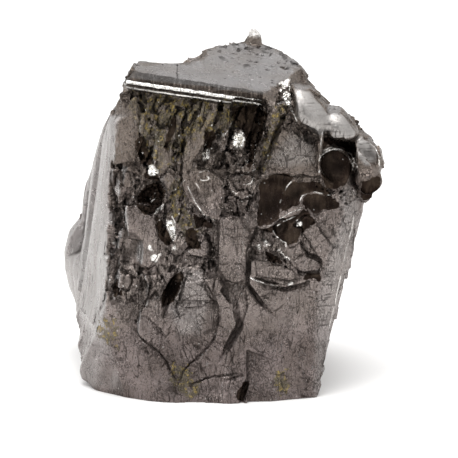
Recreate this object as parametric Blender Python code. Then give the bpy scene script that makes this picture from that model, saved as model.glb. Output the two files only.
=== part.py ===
"""A lump of elite shungite: one cleaved and chipped block of natural glassy carbon, standing on a flat break.

Run with: blender --background --python part.py
The numbers are millimetres in the block's own frame: X to the right along its broad front, Y towards its
back, Z up from the flat break that it stands on. The stone is built in metres.
"""

import math
from typing import NamedTuple

import bmesh
import bpy
from mathutils import Matrix, Vector

MM = 0.001
NODE = "shungite_stone"
OUTWARD = Vector((0.0, -1.0, 0.0))  # in a side's own frame
REACH = 12.0  # how far a cutter runs out past the stone's face

# ---- Driving dimensions: the cleaved block -------------------------------------------------------
# Its corners before it was chipped. Their convex hull gives the large flat faces.
CORNERS = {
    # the flat break that it stands on
    "base_corner": (-16.7, -6.4, 1.0),
    "base_left_end": (-14.9, -8.4, 0.0),
    "base_front_left": (-11.4, -11.6, 0.0),
    "base_front_bulge": (-8.6, -13.0, 0.0),
    "base_front": (-4.6, -14.2, 0.0),
    "base_front_mid": (2.7, -14.0, 0.0),
    "base_front_right": (11.2, -11.6, 0.0),
    "base_right": (11.6, -3.0, 0.0),
    "base_back_right": (8.5, 11.0, 0.0),
    "base_back": (-3.0, 16.0, 0.0),
    "base_left": (-12.4, 7.0, 0.0),
    # the top cleavage, which tilts to the front
    "ridge_left": (-10.8, -9.9, 37.9),
    "ridge_right": (4.8, -10.8, 36.1),
    "skyline_left": (-10.0, -4.0, 39.3),
    "skyline_mid": (-2.8, -0.6, 39.5),
    "skyline_rise": (-0.2, 3.0, 40.1),
    "peak": (3.9, 6.5, 40.5),
    "skyline_right": (7.8, 3.0, 39.4),
    "top_right": (9.7, -1.5, 38.0),
    # the left cleavage, seen nearly edge on from the front
    "left_top": (-13.0, -5.0, 32.6),
    "left_front_top": (-12.8, -9.2, 33.0),
    "left_front_mid": (-12.3, -11.7, 20.3),
    "left_front_low": (-14.3, -10.6, 10.1),
    "left_corner": (-18.6, -2.0, 2.9),
    "left_back_low": (-18.9, 7.0, 6.0),
    "left_back_mid": (-18.2, 8.5, 13.0),
    "left_back_high": (-17.5, 8.5, 22.0),
    "left_back_top": (-14.7, 2.5, 30.0),
    # the right shoulder, which overhangs the narrow right face
    "shoulder_mid": (13.6, -1.5, 32.9),
    "shoulder_low": (17.6, -1.0, 29.8),
    "lump_high": (19.2, -1.5, 28.1),
    "lump_low": (18.9, -1.0, 23.8),
    "lump_front": (14.8, -8.2, 27.6),
    "right_front_high": (14.4, -9.3, 23.6),
    "right_front_mid": (11.5, -11.8, 15.6),
    "right_back": (16.4, -3.0, 19.9),
    # the back
    "back_top": (2.0, 13.6, 35.5),
    "back_high_right": (11.6, 8.0, 31.0),
    "back_high_left": (-10.0, 10.5, 29.0),
    "back_mid": (2.0, 18.9, 20.0),
    "back_mid_right": (15.2, 11.5, 19.0),
    "back_low": (-4.0, 18.7, 8.0),
    "back_left": (-14.4, 16.6, 15.0),
    "back_low_right": (10.5, 14.4, 6.0),
}


class Face(NamedTuple):
    """A side that features are laid out on.

    turn is its bearing about Z, with the front at 0 and the right at 90 degrees. out is its distance from
    the Z axis at the foot, and lean is how much it falls back for each mm up. A point on it is (x, z), where
    x runs to the right as the side is looked at.
    """

    turn: float
    out: float
    lean: float


FACES = {
    "front": Face(0.0, 13.8, 0.1),
    "right": Face(87.0, 11.6, -0.259),
    "back_right": Face(145.7, 15.9, -0.081),
    "back": Face(188.7, 19.25, 0.02),
    "back_high": Face(187.4, 25.9, 0.399),
    "left": Face(-77.9, 18.75, 0.155),
}


class Cleave(NamedTuple):
    """A flat break: the middle of the new face, the way it faces, its width and height, and its roll."""

    at: tuple
    facing: tuple
    width: float
    height: float
    roll: float = 0.0


class Knob(NamedTuple):
    """A swelling left between breaks.

    It has an outline (x, z) and a size (1 is full) at each y, front to back. It dies away towards its crest.
    """

    outline: tuple
    crest: tuple
    sections: tuple


class Scoop(NamedTuple):
    """A shell-shaped (conchoidal) break.

    at is its deepest point measured on the old face, mouth is half the width of its rim, stretch is the rim's
    length over its width, and turn is how far the long way leans clockwise from upright, seen from outside.
    """

    at: tuple
    facing: tuple
    mouth: float
    depth: float
    stretch: float = 1.0
    turn: float = 0.0


class Plate(NamedTuple):
    """A flat on a side: its outline (x, z), its depth behind the side's plane, and its lean.

    lean_x and lean_z are how much more it falls back for each mm to the right and each mm up.
    """

    outline: tuple
    depth: float
    lean_x: float = 0.0
    lean_z: float = 0.0
    side: str = "front"


class Groove(NamedTuple):
    """A V-shaped opening along a path of points (x, z) on a side, sunk below the side's plane."""

    path: tuple
    width: float
    depth: float
    sunk: float = 1.0
    side: str = "front"


CLEAVES = {
    "under_shoulder": Cleave((14.35, -3.0, 11.1), (0.965, -0.05, -0.25), 40.0, 19.4, 0.0),
    "shoulder_slope": Cleave((12.3, -2.0, 34.4), (0.7, 0.1, 0.7), 40.0, 6.4),
    "back_left_slope": Cleave((-8.6, 6.0, 33.4), (-0.48, 0.55, 0.68), 40.0, 30.0),
    "ridge_bevel": Cleave((-3.0, -10.2, 36.9), (0.08, -0.80, 0.60), 40.0, 1.5, -6.4),
    # steps where the left cleavage jumped from one layer to the next
    "left_step_back": Cleave((-17.2, 9.5, 23.2), (-0.957, -0.206, 0.2045), 13.0, 22.0, -9.0),
    "left_step_low": Cleave((-17.55, -0.65, 4.05), (-0.957, -0.206, 0.2045), 26.0, 11.0, 12.0),
    # the large flats of the back
    "back_upper_flat": Cleave((-2.0, 15.0, 27.0), (-0.12, 0.92, 0.37), 60.0, 40.0),
    "back_right_flat": Cleave((10.5, 13.6, 15.0), (0.56, 0.82, -0.08), 14.0, 30.0, 12.0),
    "back_left_flat": Cleave((-11.6, 15.6, 9.0), (-0.52, 0.84, -0.14), 13.0, 24.0, -18.0),
    "back_foot": Cleave((0.0, 17.4, 4.4), (0.06, 0.94, -0.32), 60.0, 9.6, 6.0),
    "back_ledge": Cleave((4.6, 15.9, 15.0), (0.16, 0.99, 0.04), 30.0, 9.0, -14.0),
    # the right side
    "side_flat": Cleave((14.6, 6.4, 12.0), (0.97, 0.2, -0.14), 12.0, 26.0, -7.0),
    "side_high_flat": Cleave((15.0, 4.6, 29.0), (0.8, 0.35, 0.48), 12.0, 10.0, 24.0),
}

KNOBS = {
    "shoulder_knob": Knob(
        (
            (8.2, 36.7), (9.2, 36.8), (10.2, 36.4), (11.2, 35.5), (12.2, 34.4), (12.9, 33.2),
            (12.9, 31.6), (12.3, 30.9), (11.0, 30.8), (9.8, 31.3), (8.8, 32.3), (8.2, 33.7),
        ),
        (9.6, 32.8),
        (
            (-10.4, 0.3), (-10.1, 0.52), (-9.5, 0.74), (-8.6, 0.9), (-7.3, 0.98), (-5.6, 1.0),
            (-3.2, 0.86), (-1.2, 0.6),
        ),
    ),
    "shoulder_saddle": Knob(
        (
            (12.0, 34.0), (13.2, 34.0), (14.3, 33.8), (15.1, 32.9), (15.8, 31.8), (16.2, 30.9),
            (15.6, 30.2), (14.2, 30.0), (12.8, 30.2), (11.9, 31.2),
        ),
        (13.0, 31.2),
        ((-9.6, 0.36), (-9.2, 0.62), (-8.4, 0.82), (-7.0, 0.95), (-5.2, 1.0), (-3.0, 0.84), (0.6, 0.5)),
    ),
    "shoulder_lobe": Knob(
        (
            (15.4, 30.4), (16.5, 30.6), (17.5, 30.2), (18.3, 29.5), (18.9, 28.4), (19.15, 27.2),
            (19.1, 26.0), (18.7, 24.9), (17.2, 24.5), (16.0, 25.2), (15.3, 27.4),
        ),
        (16.4, 27.4),
        ((-8.8, 0.4), (-8.3, 0.66), (-7.2, 0.86), (-5.4, 0.97), (-3.2, 1.0), (-0.6, 0.88), (3.0, 0.5)),
    ),
    "lobe_foot": Knob(
        ((16.2, 25.6), (18.6, 25.8), (18.9, 24.2), (18.4, 22.9), (17.2, 22.2), (16.2, 22.9)),
        (16.4, 24.6),
        ((-7.2, 0.5), (-6.4, 0.9), (-3.6, 1.0), (-1.0, 1.0), (1.6, 0.8), (4.0, 0.4)),
    ),
    "left_bulge": Knob(
        (
            (-16.0, 18.4), (-18.2, 17.6), (-19.6, 15.8), (-20.2, 13.4), (-20.2, 11.2),
            (-19.7, 8.8), (-18.8, 6.2), (-16.4, 5.0),
        ),
        (-16.4, 11.2),
        (
            (0.6, 0.2), (3.2, 0.56), (5.8, 0.85), (8.0, 0.98), (9.8, 1.0), (12.0, 0.9),
            (14.4, 0.66), (16.4, 0.36),
        ),
    ),
    "peak_crumb": Knob(
        ((2.6, 40.0), (3.0, 41.0), (3.8, 41.7), (4.6, 41.3), (5.0, 40.2), (4.0, 39.6)),
        (3.8, 40.2),
        ((4.6, 0.5), (5.2, 0.9), (5.8, 1.0), (6.5, 0.9), (7.2, 0.5)),
    ),
}

# Breaks that lowered parts of the sides.
BEDS = {
    "upper_bed": Plate(
        (
            (-13.4, 27.6), (-12.9, 33.6), (-10.4, 36.3), (5.2, 34.6), (5.4, 31.0), (4.1, 26.6),
            (-3.0, 25.4),
        ),
        1.1,
        0.02,
        -0.03,
    ),
    "middle_bed": Plate(
        (
            (-13.6, 28.4), (-4.6, 27.6), (4.1, 27.4), (4.2, 22.2), (-0.4, 21.6), (-0.7, 15.2),
            (-4.9, 14.4), (-9.4, 11.4), (-13.6, 11.0),
        ),
        1.0,
        -0.02,
        0.02,
    ),
    "under_ridge": Plate(
        ((1.5, 35.6), (5.0, 35.2), (4.6, 31.4), (3.2, 29.2), (1.0, 29.6), (0.6, 32.2)),
        1.7,
        0.05,
        0.05,
    ),
    "triangle_bed": Plate(
        (
            (4.0, 26.0), (5.8, 31.1), (7.4, 33.4), (9.8, 32.0), (12.6, 31.6), (12.2, 25.4),
            (8.1, 25.6), (5.6, 25.2),
        ),
        0.8,
        0.06,
    ),
    "crescent_bed": Plate(
        (
            (4.0, 25.8), (6.2, 26.7), (8.6, 26.2), (11.4, 26.4), (13.4, 24.6), (13.7, 22.6),
            (9.6, 21.9), (7.4, 19.9), (4.2, 19.9),
        ),
        1.5,
        0.06,
        0.05,
    ),
    "right_break": Plate(
        (
            (9.2, 22.4), (12.6, 23.4), (15.2, 24.6), (15.6, 21.0), (11.9, 15.8), (10.4, 15.6),
            (8.8, 18.8),
        ),
        0.9,
        0.18,
    ),
    "glass_bed": Plate(
        ((3.6, 20.6), (9.4, 20.6), (9.6, 17.0), (7.0, 16.2), (3.4, 16.8)),
        1.3,
        0.02,
        -0.12,
    ),
    "glass_step": Plate(
        ((7.6, 19.4), (9.8, 19.7), (11.6, 16.6), (11.4, 15.0), (8.9, 15.1)),
        1.0,
        0.1,
        0.06,
    ),
    "low_left_bed": Plate(
        ((-16.0, 12.0), (-9.6, 12.2), (-9.9, 7.8), (-8.4, 5.6), (-12.0, 5.7), (-17.0, 6.2)),
        0.9,
        -0.04,
        0.05,
    ),
    "vee_bed": Plate(
        ((-9.3, 12.0), (-1.0, 12.0), (-0.3, 10.0), (-1.7, 6.8), (-5.1, 2.4), (-6.5, 4.7), (-9.9, 7.9)),
        0.4,
        0.03,
        0.04,
    ),
    "right_low_bed": Plate(
        ((4.4, 12.6), (8.0, 8.6), (9.0, 10.2), (12.8, 10.4), (12.8, 14.4), (9.4, 13.6), (6.4, 13.2)),
        0.35,
        0.04,
        0.03,
    ),
    "middle_low_bed": Plate(
        ((-0.2, 13.4), (2.6, 14.6), (3.0, 11.4), (2.0, 8.6), (1.2, 11.6)),
        0.35,
        -0.1,
        0.02,
    ),
    "corner_bed": Plate(
        ((-9.4, 5.6), (-6.0, 3.2), (-5.0, 1.0), (-5.4, -1.0), (-9.2, -1.0), (-12.4, 2.0)),
        0.35,
        -0.08,
        0.0,
    ),
    "foot_bed": Plate(
        ((2.9, 6.4), (6.6, 4.9), (9.8, 6.8), (13.0, 5.6), (13.0, -1.0), (3.2, -1.0)),
        0.5,
        0.03,
        -0.05,
    ),
    # the back
    "back_high_bed": Plate(
        (
            (-12.5, 32.0), (-6.6, 38.5), (-0.9, 38.0), (-2.4, 32.2), (-0.8, 28.2), (-3.6, 24.6),
            (-3.0, 21.0), (-8.6, 19.4), (-14.5, 23.0),
        ),
        1.15,
        0.02,
        0.0,
        "back_high",
    ),
    "back_side_bed": Plate(
        ((3.2, 31.6), (6.4, 33.2), (11.2, 29.6), (12.6, 22.6), (7.6, 21.2), (5.2, 25.6)),
        1.0,
        -0.04,
        0.02,
        "back_high",
    ),
    "back_foot_bed": Plate(
        (
            (-6.5, 9.2), (-1.2, 8.0), (2.6, 10.4), (6.2, 7.6), (10.6, 8.8), (13.0, 2.4),
            (4.0, -1.0), (-6.0, -1.0),
        ),
        1.1,
        0.0,
        -0.05,
        "back",
    ),
    "back_right_bed": Plate(
        ((-6.4, 20.6), (-1.4, 24.0), (2.0, 19.4), (0.8, 14.2), (-2.4, 10.8), (-7.4, 13.4)),
        0.7,
        -0.05,
        0.02,
        "back_right",
    ),
    "back_right_foot": Plate(
        ((-8.0, 6.0), (-2.0, 8.4), (2.4, 5.4), (1.2, -1.0), (-8.0, -1.0)),
        0.7,
        0.03,
        -0.06,
        "back_right",
    ),
    # the right side
    "right_layer": Plate(
        (
            (-3.4, 25.0), (0.6, 24.0), (2.2, 16.0), (1.4, 8.4), (2.4, -1.0), (-4.6, -1.0),
            (-2.6, 6.0), (-3.8, 14.0),
        ),
        0.4,
        0.04,
        0.0,
        "right",
    ),
    "right_back_layer": Plate(
        ((4.4, 19.6), (8.4, 21.0), (10.6, 13.0), (9.2, 5.0), (6.0, 2.6), (5.4, 10.0)),
        1.1,
        0.12,
        0.0,
        "right",
    ),
    # the left cleavage's long layers
    "left_layer_mid": Plate(
        ((-3.0, 31.0), (-0.4, 33.5), (0.9, 25.0), (0.3, 14.0), (-1.6, 6.0), (-4.0, 8.5), (-4.0, 21.0)),
        0.75,
        0.04,
        0.0,
        "left",
    ),
    "left_layer_back": Plate(
        ((-9.4, 28.0), (-7.0, 31.0), (-6.2, 22.0), (-6.8, 14.6), (-10.4, 13.6), (-11.0, 21.0)),
        0.65,
        0.05,
        0.0,
        "left",
    ),
}

# Thin plates left standing on those beds.
PLATES = {
    "upper_left_flat": Plate(
        ((-12.4, 33.2), (-11.0, 35.0), (-9.9, 35.7), (-9.8, 30.8), (-10.5, 28.5), (-12.5, 27.9)),
        0.2,
        -0.12,
    ),
    "upper_sliver": Plate(
        ((-9.0, 34.8), (-7.7, 35.2), (-8.0, 33.2), (-9.0, 31.4), (-9.5, 32.0)),
        0.4,
        0.15,
        0.1,
    ),
    "upper_mid_flat": Plate(
        (
            (-8.1, 33.4), (-6.9, 35.2), (-5.4, 35.2), (-5.5, 31.4), (-6.2, 27.9), (-7.2, 26.5),
            (-8.0, 27.1), (-7.4, 30.8),
        ),
        0.3,
        0.14,
    ),
    "upper_lean_flat": Plate(
        (
            (-4.0, 33.6), (-2.4, 35.4), (-0.6, 35.3), (-1.4, 31.4), (-3.0, 27.3), (-4.5, 26.3),
            (-4.3, 29.7),
        ),
        0.15,
        -0.12,
        0.02,
    ),
    "upper_thin_flat": Plate(
        ((0.0, 35.2), (1.2, 35.2), (1.0, 32.2), (0.3, 29.7), (-0.4, 29.0), (0.1, 32.2)),
        0.4,
        0.2,
    ),
    "glint_flat": Plate(
        ((1.4, 31.8), (2.5, 32.0), (2.9, 30.4), (2.2, 29.0), (1.3, 30.0)),
        0.5,
        0.1,
        0.35,
    ),
    "cavity_lip": Plate(
        ((-6.0, 27.3), (-4.8, 26.3), (-5.4, 24.8), (-6.4, 24.2), (-7.2, 25.0), (-6.9, 26.4)),
        0.5,
        0.1,
        -0.1,
    ),
    "left_rim_flat": Plate(
        ((-12.6, 27.4), (-10.6, 27.6), (-10.0, 25.8), (-11.2, 24.0), (-12.9, 24.4)),
        0.6,
        -0.25,
        0.05,
    ),
    "left_low_flat": Plate(
        ((-12.8, 22.8), (-11.6, 23.2), (-11.4, 19.8), (-11.9, 17.2), (-12.9, 17.0)),
        0.5,
        -0.3,
    ),
    "mid_left_plate": Plate(
        (
            (-11.1, 23.2), (-8.5, 23.4), (-7.6, 20.8), (-7.4, 17.4), (-8.5, 15.9), (-9.8, 16.5),
            (-10.8, 19.6),
        ),
        0.1,
        0.06,
        0.03,
    ),
    "shield_plate": Plate(
        (
            (-4.6, 25.8), (-3.6, 27.2), (-1.6, 27.2), (0.2, 26.0), (0.4, 23.6), (-0.5, 21.4),
            (-2.4, 22.3), (-4.1, 24.0),
        ),
        0.25,
        0.02,
    ),
    "lump_a": Plate(((0.6, 29.2), (2.4, 29.6), (3.6, 28.6), (3.3, 27.4), (1.2, 27.2)), 0.5, -0.1, 0.3),
    "lump_b": Plate(((1.0, 26.6), (3.4, 26.9), (3.8, 24.9), (2.4, 24.1), (0.9, 25.0)), 0.45, 0.2, 0.25),
    "lump_c": Plate(((0.9, 24.2), (2.6, 23.6), (3.9, 24.0), (3.8, 22.2), (0.6, 21.8)), 0.6, 0.0, -0.25),
    "mid_low_flat": Plate(
        ((-12.3, 15.6), (-10.4, 16.0), (-9.0, 14.6), (-9.9, 12.6), (-12.6, 12.2)),
        0.45,
        0.1,
        0.05,
    ),
    "mid_low_chip": Plate(
        ((-8.8, 14.8), (-7.4, 15.0), (-6.7, 13.0), (-7.2, 11.2), (-9.0, 11.2)),
        0.4,
        -0.1,
        -0.05,
    ),
    "slot_flat": Plate(
        ((-4.6, 15.6), (-3.0, 16.4), (-1.8, 15.2), (-0.8, 12.6), (-1.6, 11.4), (-4.6, 11.2)),
        0.3,
        0.15,
        0.04,
    ),
    "dark_chip_a": Plate(
        ((-4.4, 21.6), (-2.8, 22.0), (-1.8, 20.4), (-2.4, 18.8), (-4.0, 19.2)),
        0.6,
        0.2,
        0.1,
    ),
    "dark_chip_b": Plate(
        ((-3.6, 18.4), (-1.6, 18.6), (-1.0, 16.8), (-2.6, 15.8), (-4.4, 16.8)),
        0.55,
        -0.15,
        0.1,
    ),
    "edge_blade": Plate(((11.0, 31.6), (12.0, 31.8), (11.9, 26.9), (11.2, 26.7)), 0.7, 0.5),
    # the back
    "back_leaf_high": Plate(
        ((-9.6, 32.6), (-6.8, 35.0), (-4.4, 31.8), (-5.2, 27.6), (-9.4, 28.2)),
        0.35,
        0.08,
        0.0,
        "back_high",
    ),
    "back_leaf_low": Plate(
        ((-9.8, 25.8), (-5.2, 26.4), (-4.6, 23.6), (-7.0, 21.2), (-10.6, 22.8)),
        0.45,
        -0.08,
        0.03,
        "back_high",
    ),
    "back_side_leaf": Plate(
        ((6.6, 30.2), (8.8, 30.6), (10.6, 26.4), (8.6, 23.4), (6.4, 25.8)),
        0.3,
        0.1,
        0.0,
        "back_high",
    ),
    "back_foot_leaf": Plate(
        ((-3.2, 5.6), (1.4, 6.8), (3.2, 3.6), (0.8, 0.8), (-3.6, 1.6)),
        0.5,
        0.06,
        0.04,
        "back",
    ),
    "back_right_leaf": Plate(
        ((-4.8, 19.0), (-1.8, 20.4), (-0.4, 16.8), (-2.6, 13.2), (-5.4, 14.8)),
        0.3,
        0.1,
        0.0,
        "back_right",
    ),
}

SCOOPS = {
    # the front, from the left
    "dark_cavity": Scoop((-8.1, -10.6, 24.7), (0.15, -1.0, 0.1), 1.7, 1.6, 1.15, 35.0),
    "glossy_hollow": Scoop((-6.5, -11.2, 20.6), (0.3, -1.0, 0.1), 1.3, 1.0, 2.0, -10.0),
    "shield": Scoop((-1.8, -11.0, 24.6), (-0.15, -1.0, 0.15), 2.2, 0.6, 1.25, 12.0),
    "shield_crown": Scoop((-2.6, -10.9, 27.0), (0.0, -1.0, 0.4), 1.5, 0.5, 1.4, 90.0),
    "left_edge_high": Scoop((-12.6, -10.6, 25.6), (-0.6, -0.9, 0.1), 1.3, 0.6, 1.5, 5.0),
    "gap_upper": Scoop((-0.9, -10.2, 30.2), (0.0, -1.0, 0.0), 0.9, 0.9, 2.2, 24.0),
    "recess_left": Scoop((-10.8, -11.2, 17.6), (-0.1, -1.0, 0.0), 1.3, 0.6, 1.7, 14.0),
    "front_low": Scoop((-5.0, -12.6, 8.0), (0.05, -1.0, -0.05), 3.2, 0.4, 1.3, -20.0),
    "foot_patch": Scoop((-11.8, -12.4, 3.2), (-0.45, -0.9, -0.2), 5.2, 0.5, 1.2, 70.0),
    # the dark crescents, the round cup and the breaks beside them on the right
    "crescent_big": Scoop((6.0, -10.6, 23.2), (-0.10, -1.0, 0.12), 2.7, 1.1, 1.2, 35.0),
    "crescent_small": Scoop((8.9, -10.5, 24.6), (0.1, -1.0, 0.15), 1.9, 1.2, 1.2, 40.0),
    "crescent_disc": Scoop((11.1, -10.5, 23.0), (0.0, -1.0, 0.25), 1.7, 0.9, 1.0, 0.0),
    "cup": Scoop((13.8, -9.0, 27.6), (0.1, -1.0, 0.1), 2.3, 1.4, 1.05, -30.0),
    "cup_band": Scoop((13.0, -9.0, 29.8), (0.0, -1.0, -0.2), 0.9, 0.8, 2.2, 80.0),
    "lobe_cup": Scoop((17.2, -7.4, 29.0), (0.4, -0.9, 0.2), 1.0, 0.6, 1.8, -25.0),
    "lobe_dark": Scoop((18.0, -5.2, 24.2), (0.6, -0.8, -0.2), 1.5, 0.8, 1.3, 20.0),
    "hole": Scoop((6.9, -10.7, 20.6), (0.0, -1.0, 0.1), 0.8, 1.0, 1.3, 30.0),
    "glossy_chip": Scoop((5.2, -10.9, 18.9), (-0.2, -1.0, 0.3), 1.3, 0.5, 1.2, -50.0),
    "scallop": Scoop((6.0, -12.1, 16.0), (0.0, -1.0, 0.1), 2.6, 0.7, 1.2, 80.0),
    "knob_foot": Scoop((9.6, -10.0, 31.6), (0.2, -1.0, -0.5), 0.9, 0.7, 2.6, -55.0),
    # the top's broken back rim
    "rim_notch": Scoop((-6.4, -3.2, 39.0), (-0.15, 0.74, 0.65), 2.2, 0.7, 1.4, 78.0),
    "rim_behind": Scoop((-7.6, 0.6, 37.2), (-0.45, 0.55, 0.7), 3.2, 0.8, 1.4, 40.0),
    "rim_left": Scoop((-9.6, -2.4, 38.2), (-0.6, 0.5, 0.62), 1.7, 0.5, 1.4, 30.0),
    "rim_mid": Scoop((-2.2, 3.2, 39.2), (-0.5, 0.5, 0.7), 1.6, 0.5, 1.6, 60.0),
    "rim_peak": Scoop((6.9, 7.6, 39.2), (0.5, 0.6, 0.7), 2.4, 0.7, 1.4, 60.0),
    "rim_back": Scoop((1.6, 8.6, 38.8), (-0.1, 0.8, 0.6), 2.8, 0.8, 1.4, 95.0),
    "rim_right": Scoop((9.8, 2.2, 37.6), (0.7, 0.5, 0.6), 2.0, 0.6, 1.5, 20.0),
    # the back and the sides
    "left_top_chip": Scoop((-12.3, -4.8, 34.9), (-0.9, -0.15, 0.4), 1.5, 0.7, 1.5, 25.0),
    "back_shell_big": Scoop((-4.4, 17.7, 19.0), (-0.1, 1.0, 0.12), 7.0, 1.7, 1.3, 28.0),
    "back_shell_lip": Scoop((0.6, 17.6, 23.6), (0.2, 1.0, 0.3), 3.2, 0.9, 1.5, -50.0),
    "back_shell_side": Scoop((-10.4, 14.6, 18.0), (-0.55, 0.85, 0.1), 3.4, 0.9, 1.5, 8.0),
    "back_high_chip": Scoop((4.2, 12.8, 34.2), (0.2, 0.85, 0.5), 2.4, 0.8, 1.6, 35.0),
    "back_shell_low": Scoop((6.6, 15.8, 7.0), (0.3, 1.0, -0.25), 5.4, 1.2, 1.2, -40.0),
    "back_shell_high": Scoop((7.6, 12.4, 31.4), (0.45, 0.85, 0.4), 4.6, 1.3, 1.3, -20.0),
    "back_chip": Scoop((-7.6, 17.0, 10.6), (-0.15, 1.0, 0.0), 2.4, 0.8, 1.6, 50.0),
    "back_edge_chip": Scoop((-12.4, 13.4, 24.0), (-0.6, 0.7, 0.35), 3.2, 1.0, 1.5, -25.0),
    "back_foot_chip": Scoop((-6.0, 17.4, 2.4), (-0.2, 0.8, -0.6), 3.0, 1.0, 1.4, 80.0),
    "side_shell": Scoop((16.4, 3.4, 23.4), (1.0, 0.25, 0.0), 4.0, 1.2, 1.3, 15.0),
    "side_edge_chip": Scoop((13.6, 9.8, 10.0), (0.85, 0.5, -0.1), 3.2, 1.0, 1.6, -15.0),
    "side_foot_chip": Scoop((11.6, 2.0, 1.6), (0.9, 0.0, -0.5), 2.6, 0.8, 1.6, 85.0),
    "left_low_chip": Scoop((-18.4, 3.0, 4.4), (-0.9, 0.0, -0.5), 2.2, 0.7, 1.8, 70.0),
    "left_high_chip": Scoop((-14.6, 6.6, 30.0), (-0.6, 0.6, 0.55), 3.0, 0.9, 1.5, -30.0),
}

GROOVES = {
    "dark_band": Groove(((8.2, 35.4), (6.6, 32.3), (5.3, 29.1), (4.0, 25.4)), 1.5, 2.0, 0.1),
    "long_crack": Groove(
        ((4.1, 25.4), (3.7, 21.0), (3.2, 17.5), (3.0, 14.0), (4.7, 11.8), (7.5, 9.0)),
        0.5,
        0.7,
        0.1,
    ),
    "crescent_crack": Groove(
        ((3.2, 15.0), (5.0, 13.8), (7.4, 13.3), (9.7, 13.9), (11.6, 15.1)),
        0.7,
        0.9,
        0.2,
    ),
    "dark_slot": Groove(((-4.6, 16.9), (-6.1, 13.4), (-6.9, 9.9)), 1.3, 1.7, 0.5),
    "vee_left": Groove(((-10.8, 12.2), (-7.3, 8.4), (-4.7, 4.6), (-3.4, 1.6)), 0.6, 0.6, 0.3),
    "vee_right": Groove(
        ((-0.8, 15.9), (1.6, 12.2), (2.1, 9.2), (-0.4, 4.8), (-2.9, 1.7)),
        0.6,
        0.7,
        0.1,
    ),
    "left_seam": Groove(
        ((-12.2, 25.6), (-12.0, 20.2), (-12.5, 14.4), (-13.7, 10.6), (-16.2, 6.2)),
        0.9,
        0.9,
        0.9,
    ),
    "foot_notch": Groove(((3.6, 4.2), (2.8, 1.6), (2.2, -0.6)), 0.8, 0.8, 0.0),
    "foot_ledge": Groove(((-4.6, 1.4), (-1.0, 2.2), (2.6, 3.4)), 0.6, 0.6, 0.0),
    # long cracks of the other sides
    "back_crack": Groove(
        ((2.6, 36.0), (2.0, 30.5), (3.4, 25.6), (2.6, 20.8), (4.6, 16.4)),
        0.9,
        1.0,
        0.1,
        "back_high",
    ),
    "back_low_crack": Groove(((5.0, 16.0), (3.2, 11.0), (4.4, 6.2), (2.8, 0.4)), 0.8, 0.9, 0.6, "back"),
    "back_corner_crack": Groove(
        ((3.6, 21.0), (2.4, 14.6), (3.6, 8.8), (2.6, 2.0)),
        0.8,
        0.9,
        0.6,
        "back_right",
    ),
    "right_crack": Groove(((-5.8, 21.0), (-5.0, 14.0), (-5.8, 7.6), (-5.2, 1.0)), 0.6, 0.7, 0.1, "right"),
    "right_back_crack": Groove(((4.4, 23.0), (3.4, 15.6), (4.2, 8.4), (3.2, 0.6)), 0.8, 0.9, 0.2, "right"),
}


# ---- Shapes --------------------------------------------------------------------------------------
def turned_to(facing, roll=0.0):
    """Rotation that brings local +Z to facing and local +Y as upright as it goes, then rolls about it."""
    outward = Vector(facing).normalized()
    upright = Vector((0.0, 0.0, 1.0)) if abs(outward.z) < 0.95 else Vector((0.0, 1.0, 0.0))
    across = upright.cross(outward).normalized()
    upright = outward.cross(across)
    frame = Matrix((across, upright, outward)).transposed()
    return (frame @ Matrix.Rotation(-math.radians(roll), 3, "Z")).to_4x4()


def add_object(name, bm, collection):
    """Puts a bmesh, whose points are in millimetres, into the collection as an object in metres."""
    bmesh.ops.scale(bm, vec=(MM, MM, MM), verts=bm.verts)
    bmesh.ops.recalc_face_normals(bm, faces=bm.faces)
    mesh = bpy.data.meshes.new(name)
    bm.to_mesh(mesh)
    bm.free()
    obj = bpy.data.objects.new(name, mesh)
    collection.objects.link(obj)
    return obj


def block(corners):
    """The convex block through the corners."""
    bm = bmesh.new()
    made = bmesh.ops.convex_hull(bm, input=[bm.verts.new(p) for p in corners])
    spare = made["geom_interior"] + made["geom_unused"]
    bmesh.ops.delete(bm, geom=list({g for g in spare if isinstance(g, bmesh.types.BMVert)}), context="VERTS")
    return bm


def slab(cleave):
    """The box of rock that a flat break takes away."""
    bm = bmesh.new()
    bmesh.ops.create_cube(bm, size=1.0)
    bmesh.ops.translate(bm, vec=(0.0, 0.0, 0.5), verts=bm.verts)
    bmesh.ops.scale(bm, vec=(cleave.width, cleave.height, REACH), verts=bm.verts)
    place = Matrix.Translation(cleave.at) @ turned_to(cleave.facing, cleave.roll)
    bmesh.ops.transform(bm, matrix=place, verts=bm.verts)
    return bm


def lump(knob):
    """The convex lump through a knob's sections."""
    crest_x, crest_z = knob.crest
    return block(
        (crest_x + (x - crest_x) * size, y, crest_z + (z - crest_z) * size)
        for y, size in knob.sections
        for x, z in knob.outline
    )


def shell(scoop):
    """The ball that leaves a scoop of the given mouth and depth where it dips into the face."""
    radius = (scoop.mouth**2 + scoop.depth**2) / (2.0 * scoop.depth)
    outward = Vector(scoop.facing).normalized()
    bm = bmesh.new()
    bmesh.ops.create_icosphere(bm, subdivisions=3, radius=radius)
    bmesh.ops.scale(bm, vec=(1.0, scoop.stretch, 1.0), verts=bm.verts)
    place = Matrix.Translation(Vector(scoop.at) + outward * (radius - scoop.depth))
    bmesh.ops.transform(bm, matrix=place @ turned_to(outward, scoop.turn), verts=bm.verts)
    return bm


def middle(outline):
    """The mean of an outline's corners."""
    return sum(x for x, _ in outline) / len(outline), sum(z for _, z in outline) / len(outline)


def level(side, z):
    """How far in front of the Z axis a side's plane is at height z, as a y in the side's own frame."""
    return FACES[side].lean * z - FACES[side].out


def turned_round(bm, side):
    """Brings a shape from its side's own frame to the stone's frame."""
    turn = Matrix.Rotation(math.radians(FACES[side].turn), 4, "Z")
    bmesh.ops.transform(bm, matrix=turn, verts=bm.verts)
    return bm


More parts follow.
